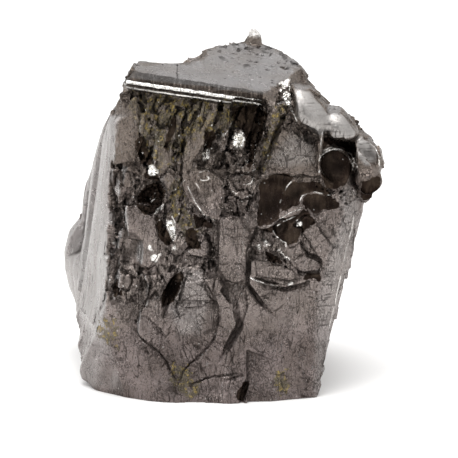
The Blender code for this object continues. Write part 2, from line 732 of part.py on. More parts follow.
def prism(plate, behind, spread):
    """A prism between a plate's flat and the y behind, where its outline is spread about its middle."""
    middle_x, middle_z = middle(plate.outline)
    bm = bmesh.new()
    near, far = [], []
    for x, z in plate.outline:
        lean = plate.lean_x * (x - middle_x) + plate.lean_z * (z - middle_z)
        near.append(bm.verts.new((x, level(plate.side, z) + plate.depth + lean, z)))
        spread_x, spread_z = middle_x + (x - middle_x) * spread, middle_z + (z - middle_z) * spread
        far.append(bm.verts.new((spread_x, level(plate.side, middle_z) + behind, spread_z)))
    bm.faces.new(near)
    bm.faces.new(far)
    for i in range(len(near)):
        j = (i + 1) % len(near)
        bm.faces.new((near[i], near[j], far[j], far[i]))
    return turned_round(bm, plate.side)


def bed(plate):
    """The rock in front of a bed's flat, which the break took away."""
    return prism(plate, -REACH, 1.6)


def standing(plate):
    """The rock of a plate that still stands on its bed, with sloping sides."""
    return prism(plate, REACH / 2.0, 1.12)


def wedge(groove):
    """The V-shaped wedge along a groove's path, which thins out to both ends."""
    lift = 2.0
    ends_width, ends_depth = 0.35, 0.25
    path = [Vector((x, level(groove.side, z) + groove.sunk, z)) for x, z in groove.path]
    bm = bmesh.new()
    rings = []
    for i, point in enumerate(path):
        along = path[min(i + 1, len(path) - 1)] - path[max(i - 1, 0)]
        across = Vector((along.z, 0.0, -along.x)).normalized()
        end = i in (0, len(path) - 1)
        half = groove.width / 2.0 * (ends_width if end else 1.0)
        deep = groove.depth * (ends_depth if end else 1.0)
        flare = half * (deep + lift) / deep
        mouth = point + OUTWARD * lift
        ring = (mouth + across * flare, mouth - across * flare, point - OUTWARD * deep)
        rings.append([bm.verts.new(corner) for corner in ring])
    for near, far in zip(rings, rings[1:]):
        for i in range(3):
            j = (i + 1) % 3
            bm.faces.new((near[i], near[j], far[j], far[i]))
    bm.faces.new(rings[0])
    bm.faces.new(rings[-1])
    return turned_round(bm, groove.side)


# ---- The stone -----------------------------------------------------------------------------------
def helpers(label, features, shape, is_round=False):
    """A collection of hidden helper solids, one for each named feature."""
    collection = bpy.data.collections.new(label)
    bpy.context.scene.collection.children.link(collection)
    for name, feature in features.items():
        helper = add_object(name, shape(feature), collection)
        helper.hide_render = True
        helper.display_type = "WIRE"
        if is_round:
            helper.data.shade_smooth()
    return collection


def work(stone, operation, collection):
    """Joins every solid of the collection to the stone, or cuts it from the stone."""
    modifier = stone.modifiers.new(collection.name, "BOOLEAN")
    modifier.operation = operation
    modifier.operand_type = "COLLECTION"
    modifier.collection = collection
    modifier.solver = "EXACT"


def shungite():
    """The material of a fresh break: dark, glassy and half metallic."""
    material = bpy.data.materials.new("shungite")
    material.use_nodes = True
    surface = material.node_tree.nodes["Principled BSDF"]
    surface.inputs["Base Color"].default_value = (0.14, 0.12, 0.115, 1.0)
    surface.inputs["Metallic"].default_value = 0.85
    surface.inputs["Roughness"].default_value = 0.28
    return material


def main():
    for obj in list(bpy.data.objects):
        bpy.data.objects.remove(obj)
    stone = add_object(NODE, block(CORNERS.values()), bpy.context.scene.collection)
    stone.data.materials.append(shungite())
    work(stone, "DIFFERENCE", helpers("cleaves", CLEAVES, slab))
    work(stone, "UNION", helpers("knobs", KNOBS, lump))
    work(stone, "DIFFERENCE", helpers("beds", BEDS, bed))
    work(stone, "UNION", helpers("plates", PLATES, standing))
    work(stone, "DIFFERENCE", helpers("scoops", SCOOPS, shell, is_round=True))
    work(stone, "DIFFERENCE", helpers("grooves", GROOVES, wedge))


main()
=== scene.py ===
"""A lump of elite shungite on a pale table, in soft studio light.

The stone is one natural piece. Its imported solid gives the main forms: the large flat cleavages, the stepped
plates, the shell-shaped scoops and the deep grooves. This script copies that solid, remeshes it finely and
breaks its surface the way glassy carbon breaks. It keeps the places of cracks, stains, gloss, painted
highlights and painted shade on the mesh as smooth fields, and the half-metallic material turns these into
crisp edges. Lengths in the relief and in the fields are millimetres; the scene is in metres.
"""

from __future__ import annotations

import logging
import math
import sys
from dataclasses import dataclass
from enum import Enum, IntEnum
from functools import partial, reduce
from typing import Any, Iterable, Mapping, Sequence

import bpy
import numpy as np
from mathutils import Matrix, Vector

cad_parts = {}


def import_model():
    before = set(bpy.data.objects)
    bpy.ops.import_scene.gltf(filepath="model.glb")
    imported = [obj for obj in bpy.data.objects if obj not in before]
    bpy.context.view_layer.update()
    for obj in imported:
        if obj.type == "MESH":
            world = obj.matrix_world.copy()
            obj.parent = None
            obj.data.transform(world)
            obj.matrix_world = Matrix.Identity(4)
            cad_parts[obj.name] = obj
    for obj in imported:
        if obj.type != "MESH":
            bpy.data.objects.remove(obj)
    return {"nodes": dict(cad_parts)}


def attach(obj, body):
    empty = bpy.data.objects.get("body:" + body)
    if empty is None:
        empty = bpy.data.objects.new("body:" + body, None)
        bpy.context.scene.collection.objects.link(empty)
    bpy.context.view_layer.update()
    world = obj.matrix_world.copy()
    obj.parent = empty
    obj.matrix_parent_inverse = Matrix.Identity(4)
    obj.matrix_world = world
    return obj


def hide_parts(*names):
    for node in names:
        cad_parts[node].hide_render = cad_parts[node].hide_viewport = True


log = logging.getLogger("shungite")

Array = np.ndarray
Outline = tuple[tuple[float, float], ...]
Triple = tuple[float, float, float]

NODE = "shungite_stone"
BODY = "root"
MM = 0.001


class Seed(IntEnum):
    """The seeds of the relief's noise."""

    BOWING = 3
    PITS = 5
    PEAK = 6
    GRAIN = 7
    FIBRES = 8
    LEDGES = 11
    FLAKES = 13
    RIPPLES = 17
    CLEAVAGE_EDGE = 19
    BROAD_SHELLS = 21
    SMALL_SHELLS = 22
    FRONT_SHELLS = 23
    WANDER = 31
    RUBBLE = 100


# ---- Noise and distances --------------------------------------------------------------------------
class Noise:
    """Seeded gradient noise over points in space."""

    def __init__(self, seed: int) -> None:
        """Draws the tables.

        Args:
            seed: makes one field differ from another.
        """
        rng = np.random.default_rng(seed)
        self.order = np.concatenate([rng.permutation(256)] * 3)
        directions = rng.normal(size=(256, 3))
        self.directions = directions / np.linalg.norm(directions, axis=1, keepdims=True)

    def hashed(self, cell: Array) -> Array:
        """Gives each whole-numbered cell a number from 0 to 255."""
        x, y, z = (cell & 255).T
        return self.order[self.order[self.order[x] + y] + z]

    def __call__(self, points: Array) -> Array:
        """Evaluates the noise.

        Args:
            points: N by 3, in units of one noise cell.

        Returns:
            N values of about -0.7 to 0.7.
        """
        base = np.floor(points).astype(np.int64)
        part = points - base
        fade = part**3 * (part * (part * 6.0 - 15.0) + 10.0)
        total = np.zeros(len(points))
        for corner in range(8):
            step = np.array([corner & 1, corner >> 1 & 1, corner >> 2 & 1])
            slope = np.einsum("ij,ij->i", self.directions[self.hashed(base + step)], part - step)
            weight = np.prod(np.where(step == 1, fade, 1.0 - fade), axis=1)
            total += weight * slope
        return total

    def vector(self, points: Array) -> Array:
        """Three independent values of the noise for each point, N by 3."""
        return np.stack([self(points), self(points + 41.3), self(points + 83.7)], axis=1)

    def fractal(self, points: Array, octaves: int, gain: float = 0.5) -> Array:
        """Adds octaves of the noise, each twice as fine.

        Args:
            points: N by 3, in units of the largest cell.
            octaves: how many to add.
            gain: how much weaker each octave is than the last.

        Returns:
            N values.
        """
        total = np.zeros(len(points))
        for octave in range(octaves):
            total += gain**octave * self(points * 2.0**octave + 17.3 * octave)
        return total

    def cells(self, points: Array) -> tuple[Array, Array, Array]:
        """Finds each point's nearest scattered seed.

        Args:
            points: N by 3, in units of one cell.

        Returns:
            The cell's number from 0 to 255, the offset from its seed, and the distance to it.
        """
        base = np.floor(points).astype(np.int64)
        nearest = np.full(len(points), 9.0)
        number = np.zeros(len(points), dtype=np.int64)
        offset = np.zeros_like(points)
        for shift in np.ndindex(3, 3, 3):
            cell = base + (np.array(shift) - 1)
            code = self.hashed(cell)
            away = points - (cell + 0.5 + 0.45 * self.directions[code])
            distance = np.linalg.norm(away, axis=1)
            closer = distance < nearest
            nearest = np.where(closer, distance, nearest)
            number = np.where(closer, code, number)
            offset = np.where(closer[:, None], away, offset)
        return number, offset, nearest


def along(points: Array, start: Array, end: Array) -> tuple[Array, Array]:
    """Distance of points from a straight stretch, and how far along it the nearest place is, 0 to 1."""
    run = end - start
    part = np.clip((points - start) @ run / max(run @ run, 1e-9), 0.0, 1.0)
    return np.linalg.norm(points - start - part[:, None] * run, axis=1), part


def outline_distance(points: Array, outline: Outline) -> Array:
    """Distance of points from an outline, above 0 inside it and below 0 outside it.

    Args:
        points: N by 2.
        outline: the outline's corners in order.

    Returns:
        N distances.
    """
    corners = np.array(outline)
    distance = np.full(len(points), 1e9)
    crossings = np.zeros(len(points), dtype=bool)
    for start, end in zip(corners, np.roll(corners, -1, axis=0)):
        distance = np.minimum(distance, along(points, start, end)[0])
        spans = (start[1] > points[:, 1]) != (end[1] > points[:, 1])
        rise = end[1] - start[1] if abs(end[1] - start[1]) > 1e-9 else 1e-9
        at = start[0] + (points[:, 1] - start[1]) / rise * (end[0] - start[0])
        crossings ^= spans & (points[:, 0] < at)
    return np.where(crossings, distance, -distance)


def path_distance(points: Array, path: Outline) -> tuple[Array, Array, float]:
    """Distance of points from a bent path.

    Args:
        points: N by 2.
        path: the path's points in order.

    Returns:
        The distance, how far along the path the nearest place is, in mm, and the path's length.
    """
    corners = np.array(path, dtype=float)
    best = np.full(len(points), 1e9)
    place = np.zeros(len(points))
    walked = 0.0
    for start, end in zip(corners, corners[1:]):
        distance, part = along(points, start, end)
        length = float(np.linalg.norm(end - start))
        closer = distance < best
        best = np.where(closer, distance, best)
        place = np.where(closer, walked + part * length, place)
        walked += length
    return best, place, walked


def smooth_step(value: Array, low: float, high: float) -> Array:
    """Goes smoothly from 0 at low to 1 at high."""
    part = np.clip((value - low) / (high - low), 0.0, 1.0)
    return part * part * (3.0 - 2.0 * part)


# ---- The stone's features -------------------------------------------------------------------------
class Side(Enum):
    """A side that features are laid out on: its bearing, its distance out at the foot, and its lean.

    A point on it is (x, z), where x runs to the right as the side is looked at.
    """

    FRONT = (0.0, 13.8, 0.1)
    RIGHT = (87.0, 11.6, -0.259)
    BACK_RIGHT = (145.7, 15.9, -0.081)
    BACK = (188.7, 19.25, 0.02)
    BACK_HIGH = (187.4, 25.9, 0.399)
    LEFT = (-77.9, 18.75, 0.155)

    def plan(self, points: Array) -> Array:
        """The points' places (x, z) on this side, N by 2."""
        turn = math.radians(self.value[0])
        return np.stack([points[:, 0] * math.cos(turn) + points[:, 1] * math.sin(turn), points[:, 2]], axis=1)

    def depth(self, points: Array) -> Array:
        """How far the points lie behind this side's plane, in mm."""
        turn = math.radians(self.value[0])
        inward = points[:, 1] * math.cos(turn) - points[:, 0] * math.sin(turn)
        return inward + self.value[1] - self.value[2] * points[:, 2]

    def faced(self, points: Array, normals: Array, low: float = 0.1, high: float = 0.45) -> Array:
        """How much each point belongs to this side, 0 to 1, by the way it faces and its depth."""
        turn = math.radians(self.value[0])
        outward = normals[:, 0] * math.sin(turn) - normals[:, 1] * math.cos(turn)
        near = smooth_step(-self.depth(points), -7.0, -5.0)
        return smooth_step(outward, low, high) * near


class Level(Enum):
    """The two broad cleavages that show their own grain, by the way they face."""

    LEFT = (-0.957, -0.206, 0.2045)
    TOP = (0.09, -0.24, 0.97)

    def faced(self, normals: Array, low: float, high: float) -> Array:
        """How much each normal is this cleavage's, 0 to 1."""
        return smooth_step(normals @ np.array(self.value), low, high)


@dataclass(frozen=True)
class Patch:
    """An area of a side, by its outline (x, z)."""

    outline: Outline
    side: Side = Side.FRONT


@dataclass(frozen=True)
class Trace:
    """A line along a path (x, z) on a side, and about how wide it is in mm."""

    path: Outline
    width: float = 0.07
    side: Side = Side.FRONT


@dataclass(frozen=True)
class Rubble:
    """An area of a side that broke into small chips.

    size is a chip's width, stretch its length over its width, lean the angle of its long way clockwise from
    upright, height how far chips stand apart, and tilt how much they slope.
    """

    outline: Outline
    size: float
    stretch: float
    lean: float
    height: float
    tilt: float
    side: Side = Side.FRONT


@dataclass(frozen=True)
class Shells:
    """Shallow bowls that meet in crisp crests: their width, their depth, and what sets how they fall."""

    size: float
    depth: float
    seed: Seed


@dataclass(frozen=True)
class Ripples:
    """Shell-shaped ripples about a focus (x, z), within a patch."""

    patch: Patch
    focus: tuple[float, float]
    spacing: float
    height: float


RUBBLE: dict[str, Rubble] = {
    "under_ridge": Rubble(
        ((-11.6, 35.0), (-10.6, 36.2), (5.2, 34.6), (4.8, 31.0), (3.8, 27.0), (1.0, 27.0), (-3.0, 27.6),
         (-4.6, 26.2), (-8.4, 26.8), (-9.8, 28.4), (-9.8, 31.0)),
        1.15, 3.0, 20.0, 0.22, 0.42,
    ),
    "left_gap": Rubble(
        ((-13.2, 28.0), (-9.6, 27.6), (-9.4, 25.6), (-10.6, 23.6), (-11.0, 20.0), (-11.4, 17.0),
         (-10.0, 16.4),
         (-8.6, 15.6), (-7.2, 16.6), (-7.0, 13.4), (-9.0, 11.6), (-13.6, 11.6)),
        1.5, 1.6, 12.0, 0.16, 0.2,
    ),
    "middle": Rubble(
        ((-7.4, 26.6), (-4.8, 26.4), (-4.0, 24.0), (-2.6, 22.4), (-1.0, 21.4), (-0.8, 15.4), (-3.6, 15.0),
         (-5.6, 15.6), (-7.2, 15.2), (-7.0, 19.0), (-7.6, 22.4)),
        1.3, 1.8, 16.0, 0.15, 0.22,
    ),
    "glitter": Rubble(
        ((0.4, 29.8), (3.4, 29.9), (4.0, 26.4), (4.0, 22.2), (1.2, 21.4), (-0.2, 23.0), (0.2, 26.4)),
        1.2, 1.2, 0.0, 0.14, 0.26,
    ),
    "glass": Rubble(
        ((4.1, 20.2), (6.1, 19.5), (7.7, 18.3), (7.5, 17.1), (8.2, 15.7), (6.8, 15.2), (4.7, 15.5),
         (3.5, 16.4), (3.6, 18.5)),
        1.5, 1.4, -40.0, 0.16, 0.24,
    ),
    "band": Rubble(
        ((5.4, 35.2), (8.2, 36.0), (7.8, 34.2), (6.6, 31.8), (5.0, 26.6), (4.0, 25.4), (3.8, 28.4)),
        0.7, 4.0, 20.0, 0.12, 0.4,
    ),
    "knob_foot": Rubble(
        ((6.4, 36.8), (8.0, 37.0), (8.0, 33.4), (10.8, 31.0), (9.2, 30.4), (6.8, 32.2)),
        0.7, 1.6, -30.0, 0.12, 0.4,
    ),
    "cup_foot": Rubble(
        ((11.4, 26.4), (12.4, 24.8), (15.2, 24.8), (16.4, 23.2), (14.8, 23.0), (12.6, 23.8), (10.8, 25.4)),
        0.6, 1.3, 40.0, 0.1, 0.4,
    ),
    "back_ledge": Rubble(
        ((-7.6, 21.4), (-4.0, 22.2), (-0.6, 21.2), (3.0, 21.8), (4.6, 19.4), (1.0, 18.8), (-3.0, 19.6),
         (-6.0, 18.4)),
        1.4, 1.5, 70.0, 0.16, 0.2, Side.BACK,
    ),
    "back_crack": Rubble(
        ((1.6, 33.6), (3.2, 34.0), (3.8, 30.0), (5.6, 27.4), (4.6, 23.6), (2.0, 22.4), (1.0, 26.0),
         (2.0, 29.6)),
        1.3, 1.9, 6.0, 0.15, 0.2, Side.BACK_HIGH,
    ),
    "back_low": Rubble(
        ((1.6, 14.0), (4.6, 15.2), (6.4, 11.8), (5.0, 8.4), (4.6, 4.0), (2.0, 3.2), (2.6, 8.0)),
        1.5, 1.4, 10.0, 0.15, 0.2, Side.BACK,
    ),
    "corner": Rubble(
        ((2.0, 21.0), (3.8, 21.6), (4.6, 15.0), (3.4, 10.6), (4.4, 5.6), (2.0, 4.0), (1.4, 9.0), (2.2, 14.6)),
        1.4, 1.8, 4.0, 0.15, 0.2, Side.BACK_RIGHT,
    ),
    "side": Rubble(
        ((-1.0, 32.0), (6.0, 33.0), (7.6, 26.0), (3.0, 24.6), (-0.4, 26.0)),
        1.5, 1.4, 30.0, 0.16, 0.2, Side.RIGHT,
    ),
    "cavity_rim": Rubble(
        ((-10.6, 25.1), (-9.8, 26.1), (-7.4, 26.0), (-6.2, 24.8), (-6.2, 23.0), (-7.3, 21.6), (-9.1, 21.7),
         (-10.5, 23.0)),
        0.75, 1.7, 32.0, 0.12, 0.34,
    ),
    "back_rim": Rubble(
        ((-12.0, 36.0), (-12.0, 43.0), (10.0, 43.0), (12.0, 34.0), (8.0, 35.0), (0.0, 38.0)),
        1.4, 1.2, 20.0, 0.24, 0.3, Side.BACK_HIGH,
    ),
}

RIPPLES: tuple[Ripples, ...] = (
    Ripples(
        Patch(((-9.8, 24.4), (-8.2, 25.3), (-6.7, 24.4), (-6.6, 22.4), (-8.2, 21.8), (-9.6, 23.0))),
        (-9.4, 25.2), 0.5, 0.05,
    ),
    Ripples(
        Patch(((4.1, 26.1), (7.6, 26.6), (7.1, 25.0), (5.6, 21.9), (4.1, 20.4))),
        (4.0, 20.0), 1.6, 0.02,
    ),
    Ripples(
        Patch(((-4.2, 25.8), (-0.4, 26.3), (0.2, 23.6), (-1.4, 21.6), (-3.8, 24.0))),
        (-1.8, 27.6), 0.9, 0.02,
    ),
    Ripples(
        Patch(((-8.0, 22.0), (3.0, 23.0), (6.0, 15.0), (2.0, 11.0), (-5.0, 13.0)), Side.BACK),
        (2.0, 25.0), 1.5, 0.05,
    ),
    Ripples(
        Patch(((4.0, 20.0), (12.0, 20.0), (11.0, 12.0), (6.0, 11.0)), Side.BACK),
        (9.0, 21.0), 1.2, 0.05,
    ),
    Ripples(
        Patch(((-1.0, 28.0), (8.0, 28.0), (8.0, 18.0), (-1.0, 18.0)), Side.RIGHT),
        (3.0, 29.0), 1.3, 0.05,
    ),
)

# The lumps, glassy scoops, glints and rims are all on the front.
KNOBS: dict[str, Outline] = {
    "knob": ((8.4, 36.6), (10.2, 36.2), (12.9, 33.2), (12.9, 31.4), (11.0, 31.2), (8.6, 33.4)),
    "saddle": ((12.4, 34.2), (14.4, 34.2), (16.4, 31.0), (15.6, 30.6), (12.8, 30.8)),
    "lobe": ((15.8, 30.6), (17.2, 30.6), (18.4, 29.0), (18.2, 27.6), (16.8, 27.4), (15.8, 28.6)),
}

STAINS: dict[str, Patch] = {
    "under_ridge": Patch(
        ((-11.4, 35.6), (-10.8, 36.6), (4.4, 34.8), (4.0, 33.0), (0.2, 31.4), (-3.0, 30.6), (-5.4, 27.8),
         (-7.6, 27.2), (-9.2, 29.4), (-10.0, 33.0))
    ),
    "band": Patch(((7.6, 34.8), (6.4, 35.0), (4.2, 27.0), (5.2, 27.4))),
    "middle": Patch(
        ((-6.2, 26.2), (-4.6, 26.0), (-4.0, 22.6), (-3.0, 20.4), (-2.0, 20.6), (-3.4, 18.8), (-5.6, 20.8)),
    ),
    "low_left": Patch(((-14.2, 10.0), (-12.2, 9.4), (-12.2, 6.0), (-14.8, 6.8))),
    "foot": Patch(((-6.4, 4.6), (-4.4, 4.4), (-2.6, 1.2), (-4.0, 0.4), (-5.8, 2.0))),
    "foot_right": Patch(((6.2, 3.6), (7.6, 3.6), (7.8, 0.6), (6.6, 0.6))),
    "back_crack": Patch(
        ((0.8, 36.0), (3.6, 36.0), (4.2, 27.0), (3.4, 22.0), (1.2, 22.0), (1.0, 29.0)),
        Side.BACK_HIGH,
    ),
}

PALES: dict[str, Patch] = {
    "kite": Patch(((-5.0, 15.6), (-2.2, 15.6), (-1.6, 12.0), (-2.6, 8.0), (-5.0, 8.0), (-6.2, 11.0))),
    "upper_right": Patch(
        ((14.0, 24.6), (15.2, 25.4), (16.0, 24.6), (15.6, 22.6), (14.6, 21.4), (13.8, 22.8)),
    ),
    "triangle": Patch(((5.4, 28.0), (8.0, 31.4), (10.6, 30.4), (10.8, 28.0), (7.6, 27.6))),
    "right_strip": Patch(
        ((10.9, 0.0), (11.2, 12.0), (12.6, 17.4), (14.2, 21.4), (15.4, 24.0), (17.4, 23.0), (16.4, 16.0),
         (13.0, -1.0))
    ),
    "back_flat": Patch(
        ((-9.0, 37.0), (-2.0, 37.0), (-3.4, 31.0), (-2.6, 25.0), (-8.0, 21.0), (-12.0, 26.0)),
        Side.BACK_HIGH,
    ),
    "right_face": Patch(((-7.0, 20.0), (-3.4, 21.0), (-2.4, 12.0), (-3.0, 1.0), (-8.0, 1.0)), Side.RIGHT),
}

# The glassy scoops, which the material paints near black: partly their own black glass, partly painted dark
# reflection.
GLASS: dict[str, Outline] = {
    "cup": (
        (11.6, 28.6), (12.3, 29.2), (13.2, 29.3), (14.1, 28.8), (14.9, 28.1), (15.3, 27.3), (15.2, 26.4),
        (14.6, 25.4), (13.6, 24.8), (12.5, 24.9), (11.8, 25.8), (11.5, 27.1),
    ),
    "cup_band": (
        (11.6, 30.5), (12.6, 30.8), (14.2, 30.8), (14.9, 30.3), (15.5, 29.1), (15.7, 27.8), (15.2, 28.0),
        (14.4, 29.1), (13.2, 29.7), (12.3, 29.7), (11.6, 29.1),
    ),
    "lobe_foot": (
        (16.6, 25.0), (17.5, 25.5), (18.5, 25.6), (18.4, 24.3), (18.0, 23.4), (17.1, 22.4), (16.7, 23.3),
    ),
    "gap_a": (
        (-10.0, 30.9), (-9.3, 31.3), (-8.6, 29.5), (-7.9, 28.6), (-8.3, 27.6), (-9.3, 28.0), (-10.0, 29.3),
    ),
    "gap_b": (
        (-5.8, 33.2), (-5.3, 33.9), (-5.1, 32.7), (-5.6, 31.3), (-6.5, 29.5), (-6.8, 30.0), (-6.3, 31.6),
    ),
    "gap_c": (
        (-2.0, 31.8), (-1.0, 31.9), (-0.6, 31.0), (-1.1, 30.2), (-1.6, 29.1), (-2.0, 28.4), (-2.2, 29.7),
    ),
    "ridge_hollow": (
        (1.1, 34.3), (3.0, 34.5), (4.7, 34.4), (5.4, 33.7), (4.9, 31.8), (4.1, 29.7), (3.3, 27.3),
        (2.8, 27.8), (3.3, 29.4), (2.8, 31.1), (1.9, 32.0), (1.2, 32.9),
    ),
    "foot_notch": ((1.7, 1.5), (2.5, 2.6), (3.3, 2.5), (2.9, 1.2), (2.5, 0.2), (1.8, 0.4)),
    "crescent_big": (
        (4.3, 25.6), (5.8, 26.5), (6.9, 26.9), (7.9, 26.7), (8.4, 26.2), (7.8, 25.5), (7.2, 24.6),
        (6.9, 23.6), (6.6, 22.3), (6.8, 21.4), (5.9, 21.0), (4.8, 20.5), (4.2, 20.5), (4.2, 22.0),
        (4.3, 23.5),
    ),
    "crescent_small": (
        (7.1, 24.5), (7.7, 25.2), (8.4, 25.7), (9.4, 25.7), (11.5, 25.6), (12.3, 24.7), (12.9, 23.9),
        (12.3, 24.0), (10.9, 24.5), (9.9, 24.3), (9.3, 23.7), (9.0, 23.0), (8.1, 22.7), (7.2, 22.1),
        (6.7, 22.3), (6.9, 23.6),
    ),
    "crescent_disc": (
        (9.4, 23.6), (9.9, 24.2), (10.9, 24.4), (12.1, 24.1), (12.9, 23.9), (13.7, 23.3), (13.8, 22.7),
        (13.2, 22.5), (12.4, 22.5), (11.8, 22.4), (11.3, 22.0), (11.3, 21.4), (10.6, 22.0), (10.0, 22.7),
        (9.4, 23.0),
    ),
    "under_rim": (
        (4.3, 20.1), (6.5, 20.8), (8.0, 21.7), (9.0, 22.0), (9.4, 22.4), (10.3, 22.3), (10.9, 21.2),
        (10.3, 20.7), (9.7, 20.2), (9.1, 19.5), (9.0, 18.9), (8.3, 18.5), (7.7, 18.3), (7.2, 18.7),
        (6.5, 19.2), (6.1, 19.8), (5.0, 19.9),
    ),
    "star": (
        (5.0, 17.6), (5.6, 17.5), (6.1, 17.1), (6.7, 16.9), (7.2, 16.3), (7.0, 16.0), (6.2, 16.2),
        (5.8, 15.6), (5.7, 16.3), (5.3, 16.8),
    ),
    "scallop_end": (
        (9.2, 14.5), (9.9, 15.2), (10.9, 15.1), (11.5, 15.3), (11.7, 14.8), (11.5, 14.1), (10.9, 14.6),
        (10.0, 14.5), (9.4, 14.3),
    ),
    "cavity": (
        (-9.9, 24.1), (-9.3, 25.0), (-8.1, 25.5), (-6.9, 25.3), (-6.5, 24.7), (-6.8, 23.4), (-7.2, 22.4),
        (-8.4, 22.0), (-9.4, 22.4), (-9.9, 23.3),
    ),
    "slot": (
        (-7.0, 12.8), (-6.1, 14.3), (-4.8, 15.3), (-4.2, 15.6), (-4.8, 13.7), (-5.4, 12.3), (-6.1, 11.5),
        (-7.0, 11.0),
    ),
    "shield_under": ((-3.4, 22.5), (-2.6, 21.8), (-1.1, 21.0), (-1.2, 20.3), (-2.1, 20.6), (-3.0, 20.4)),
    "hollow_shade": (
        (-7.8, 21.9), (-7.1, 21.3), (-6.6, 20.5), (-6.1, 19.4), (-5.5, 18.9), (-6.4, 18.4), (-7.2, 19.0),
        (-7.7, 20.2),
    ),
    "middle": (
        (-4.2, 20.2), (-3.6, 20.6), (-2.9, 20.3), (-2.9, 19.3), (-2.3, 18.1), (-3.1, 17.9), (-4.0, 18.1),
        (-4.3, 19.2),
    ),
    "gap_top": ((-9.1, 26.9), (-7.9, 27.0), (-7.2, 26.4), (-7.4, 25.7), (-8.4, 25.9), (-9.0, 26.3)),
    "seam_low": (
        (-12.4, 14.8), (-12.1, 14.4), (-12.1, 13.2), (-11.1, 12.9), (-10.8, 12.6), (-11.7, 12.6),
        (-12.4, 12.3), (-12.8, 12.3), (-12.7, 13.8),
    ),
    "foot_of_lobe": ((16.4, 25.8), (18.5, 26.5), (18.6, 24.4), (17.7, 23.1), (16.7, 22.7), (16.2, 24.1)),
}

GLINTS: dict[str, Outline] = {
    "upper": ((1.3, 30.6), (1.6, 31.4), (2.3, 31.6), (2.7, 30.9), (2.3, 30.0), (1.6, 30.0)),
    "flake": ((-2.0, 29.6), (-1.5, 29.6), (-1.6, 28.6), (-2.1, 28.1), (-2.2, 28.9)),
    "knob_side": ((7.1, 35.8), (7.6, 36.2), (8.0, 35.7), (7.9, 34.4), (7.4, 34.6)),
    "knob_top": ((6.7, 36.9), (7.5, 37.4), (8.0, 37.1), (7.5, 36.2), (6.8, 36.2)),
    "chip_left": ((-8.7, 27.6), (-8.1, 27.8), (-7.4, 27.2), (-7.8, 26.5), (-8.5, 26.7)),
    "low": (
        (-8.6, 18.4), (-8.4, 18.5), (-8.0, 17.6), (-7.2, 17.3), (-7.7, 16.5), (-8.1, 16.9), (-8.3, 17.5),
    ),
    "hollow": (
        (-6.4, 21.2), (-5.8, 21.3), (-5.5, 20.5), (-5.4, 19.4), (-5.7, 19.0), (-6.1, 19.7), (-6.6, 20.5),
    ),
    "chip_mid": ((-5.9, 18.1), (-5.5, 18.4), (-5.1, 18.0), (-5.5, 17.8)),
    "small": ((4.0, 18.3), (4.5, 18.6), (4.7, 18.1), (4.3, 17.8)),
    "small_b": ((4.9, 18.9), (5.1, 18.7), (5.6, 18.3), (5.4, 18.2), (5.0, 18.5)),
    "streak": ((6.5, 17.8), (6.7, 17.8), (8.0, 16.6), (7.8, 16.5)),
    "scallop": ((7.7, 14.0), (7.9, 14.2), (8.3, 14.2), (8.0, 13.8)),
    "glass_dot": ((8.8, 20.8), (8.9, 21.2), (9.2, 21.2), (9.1, 20.8), (8.9, 20.6)),
}
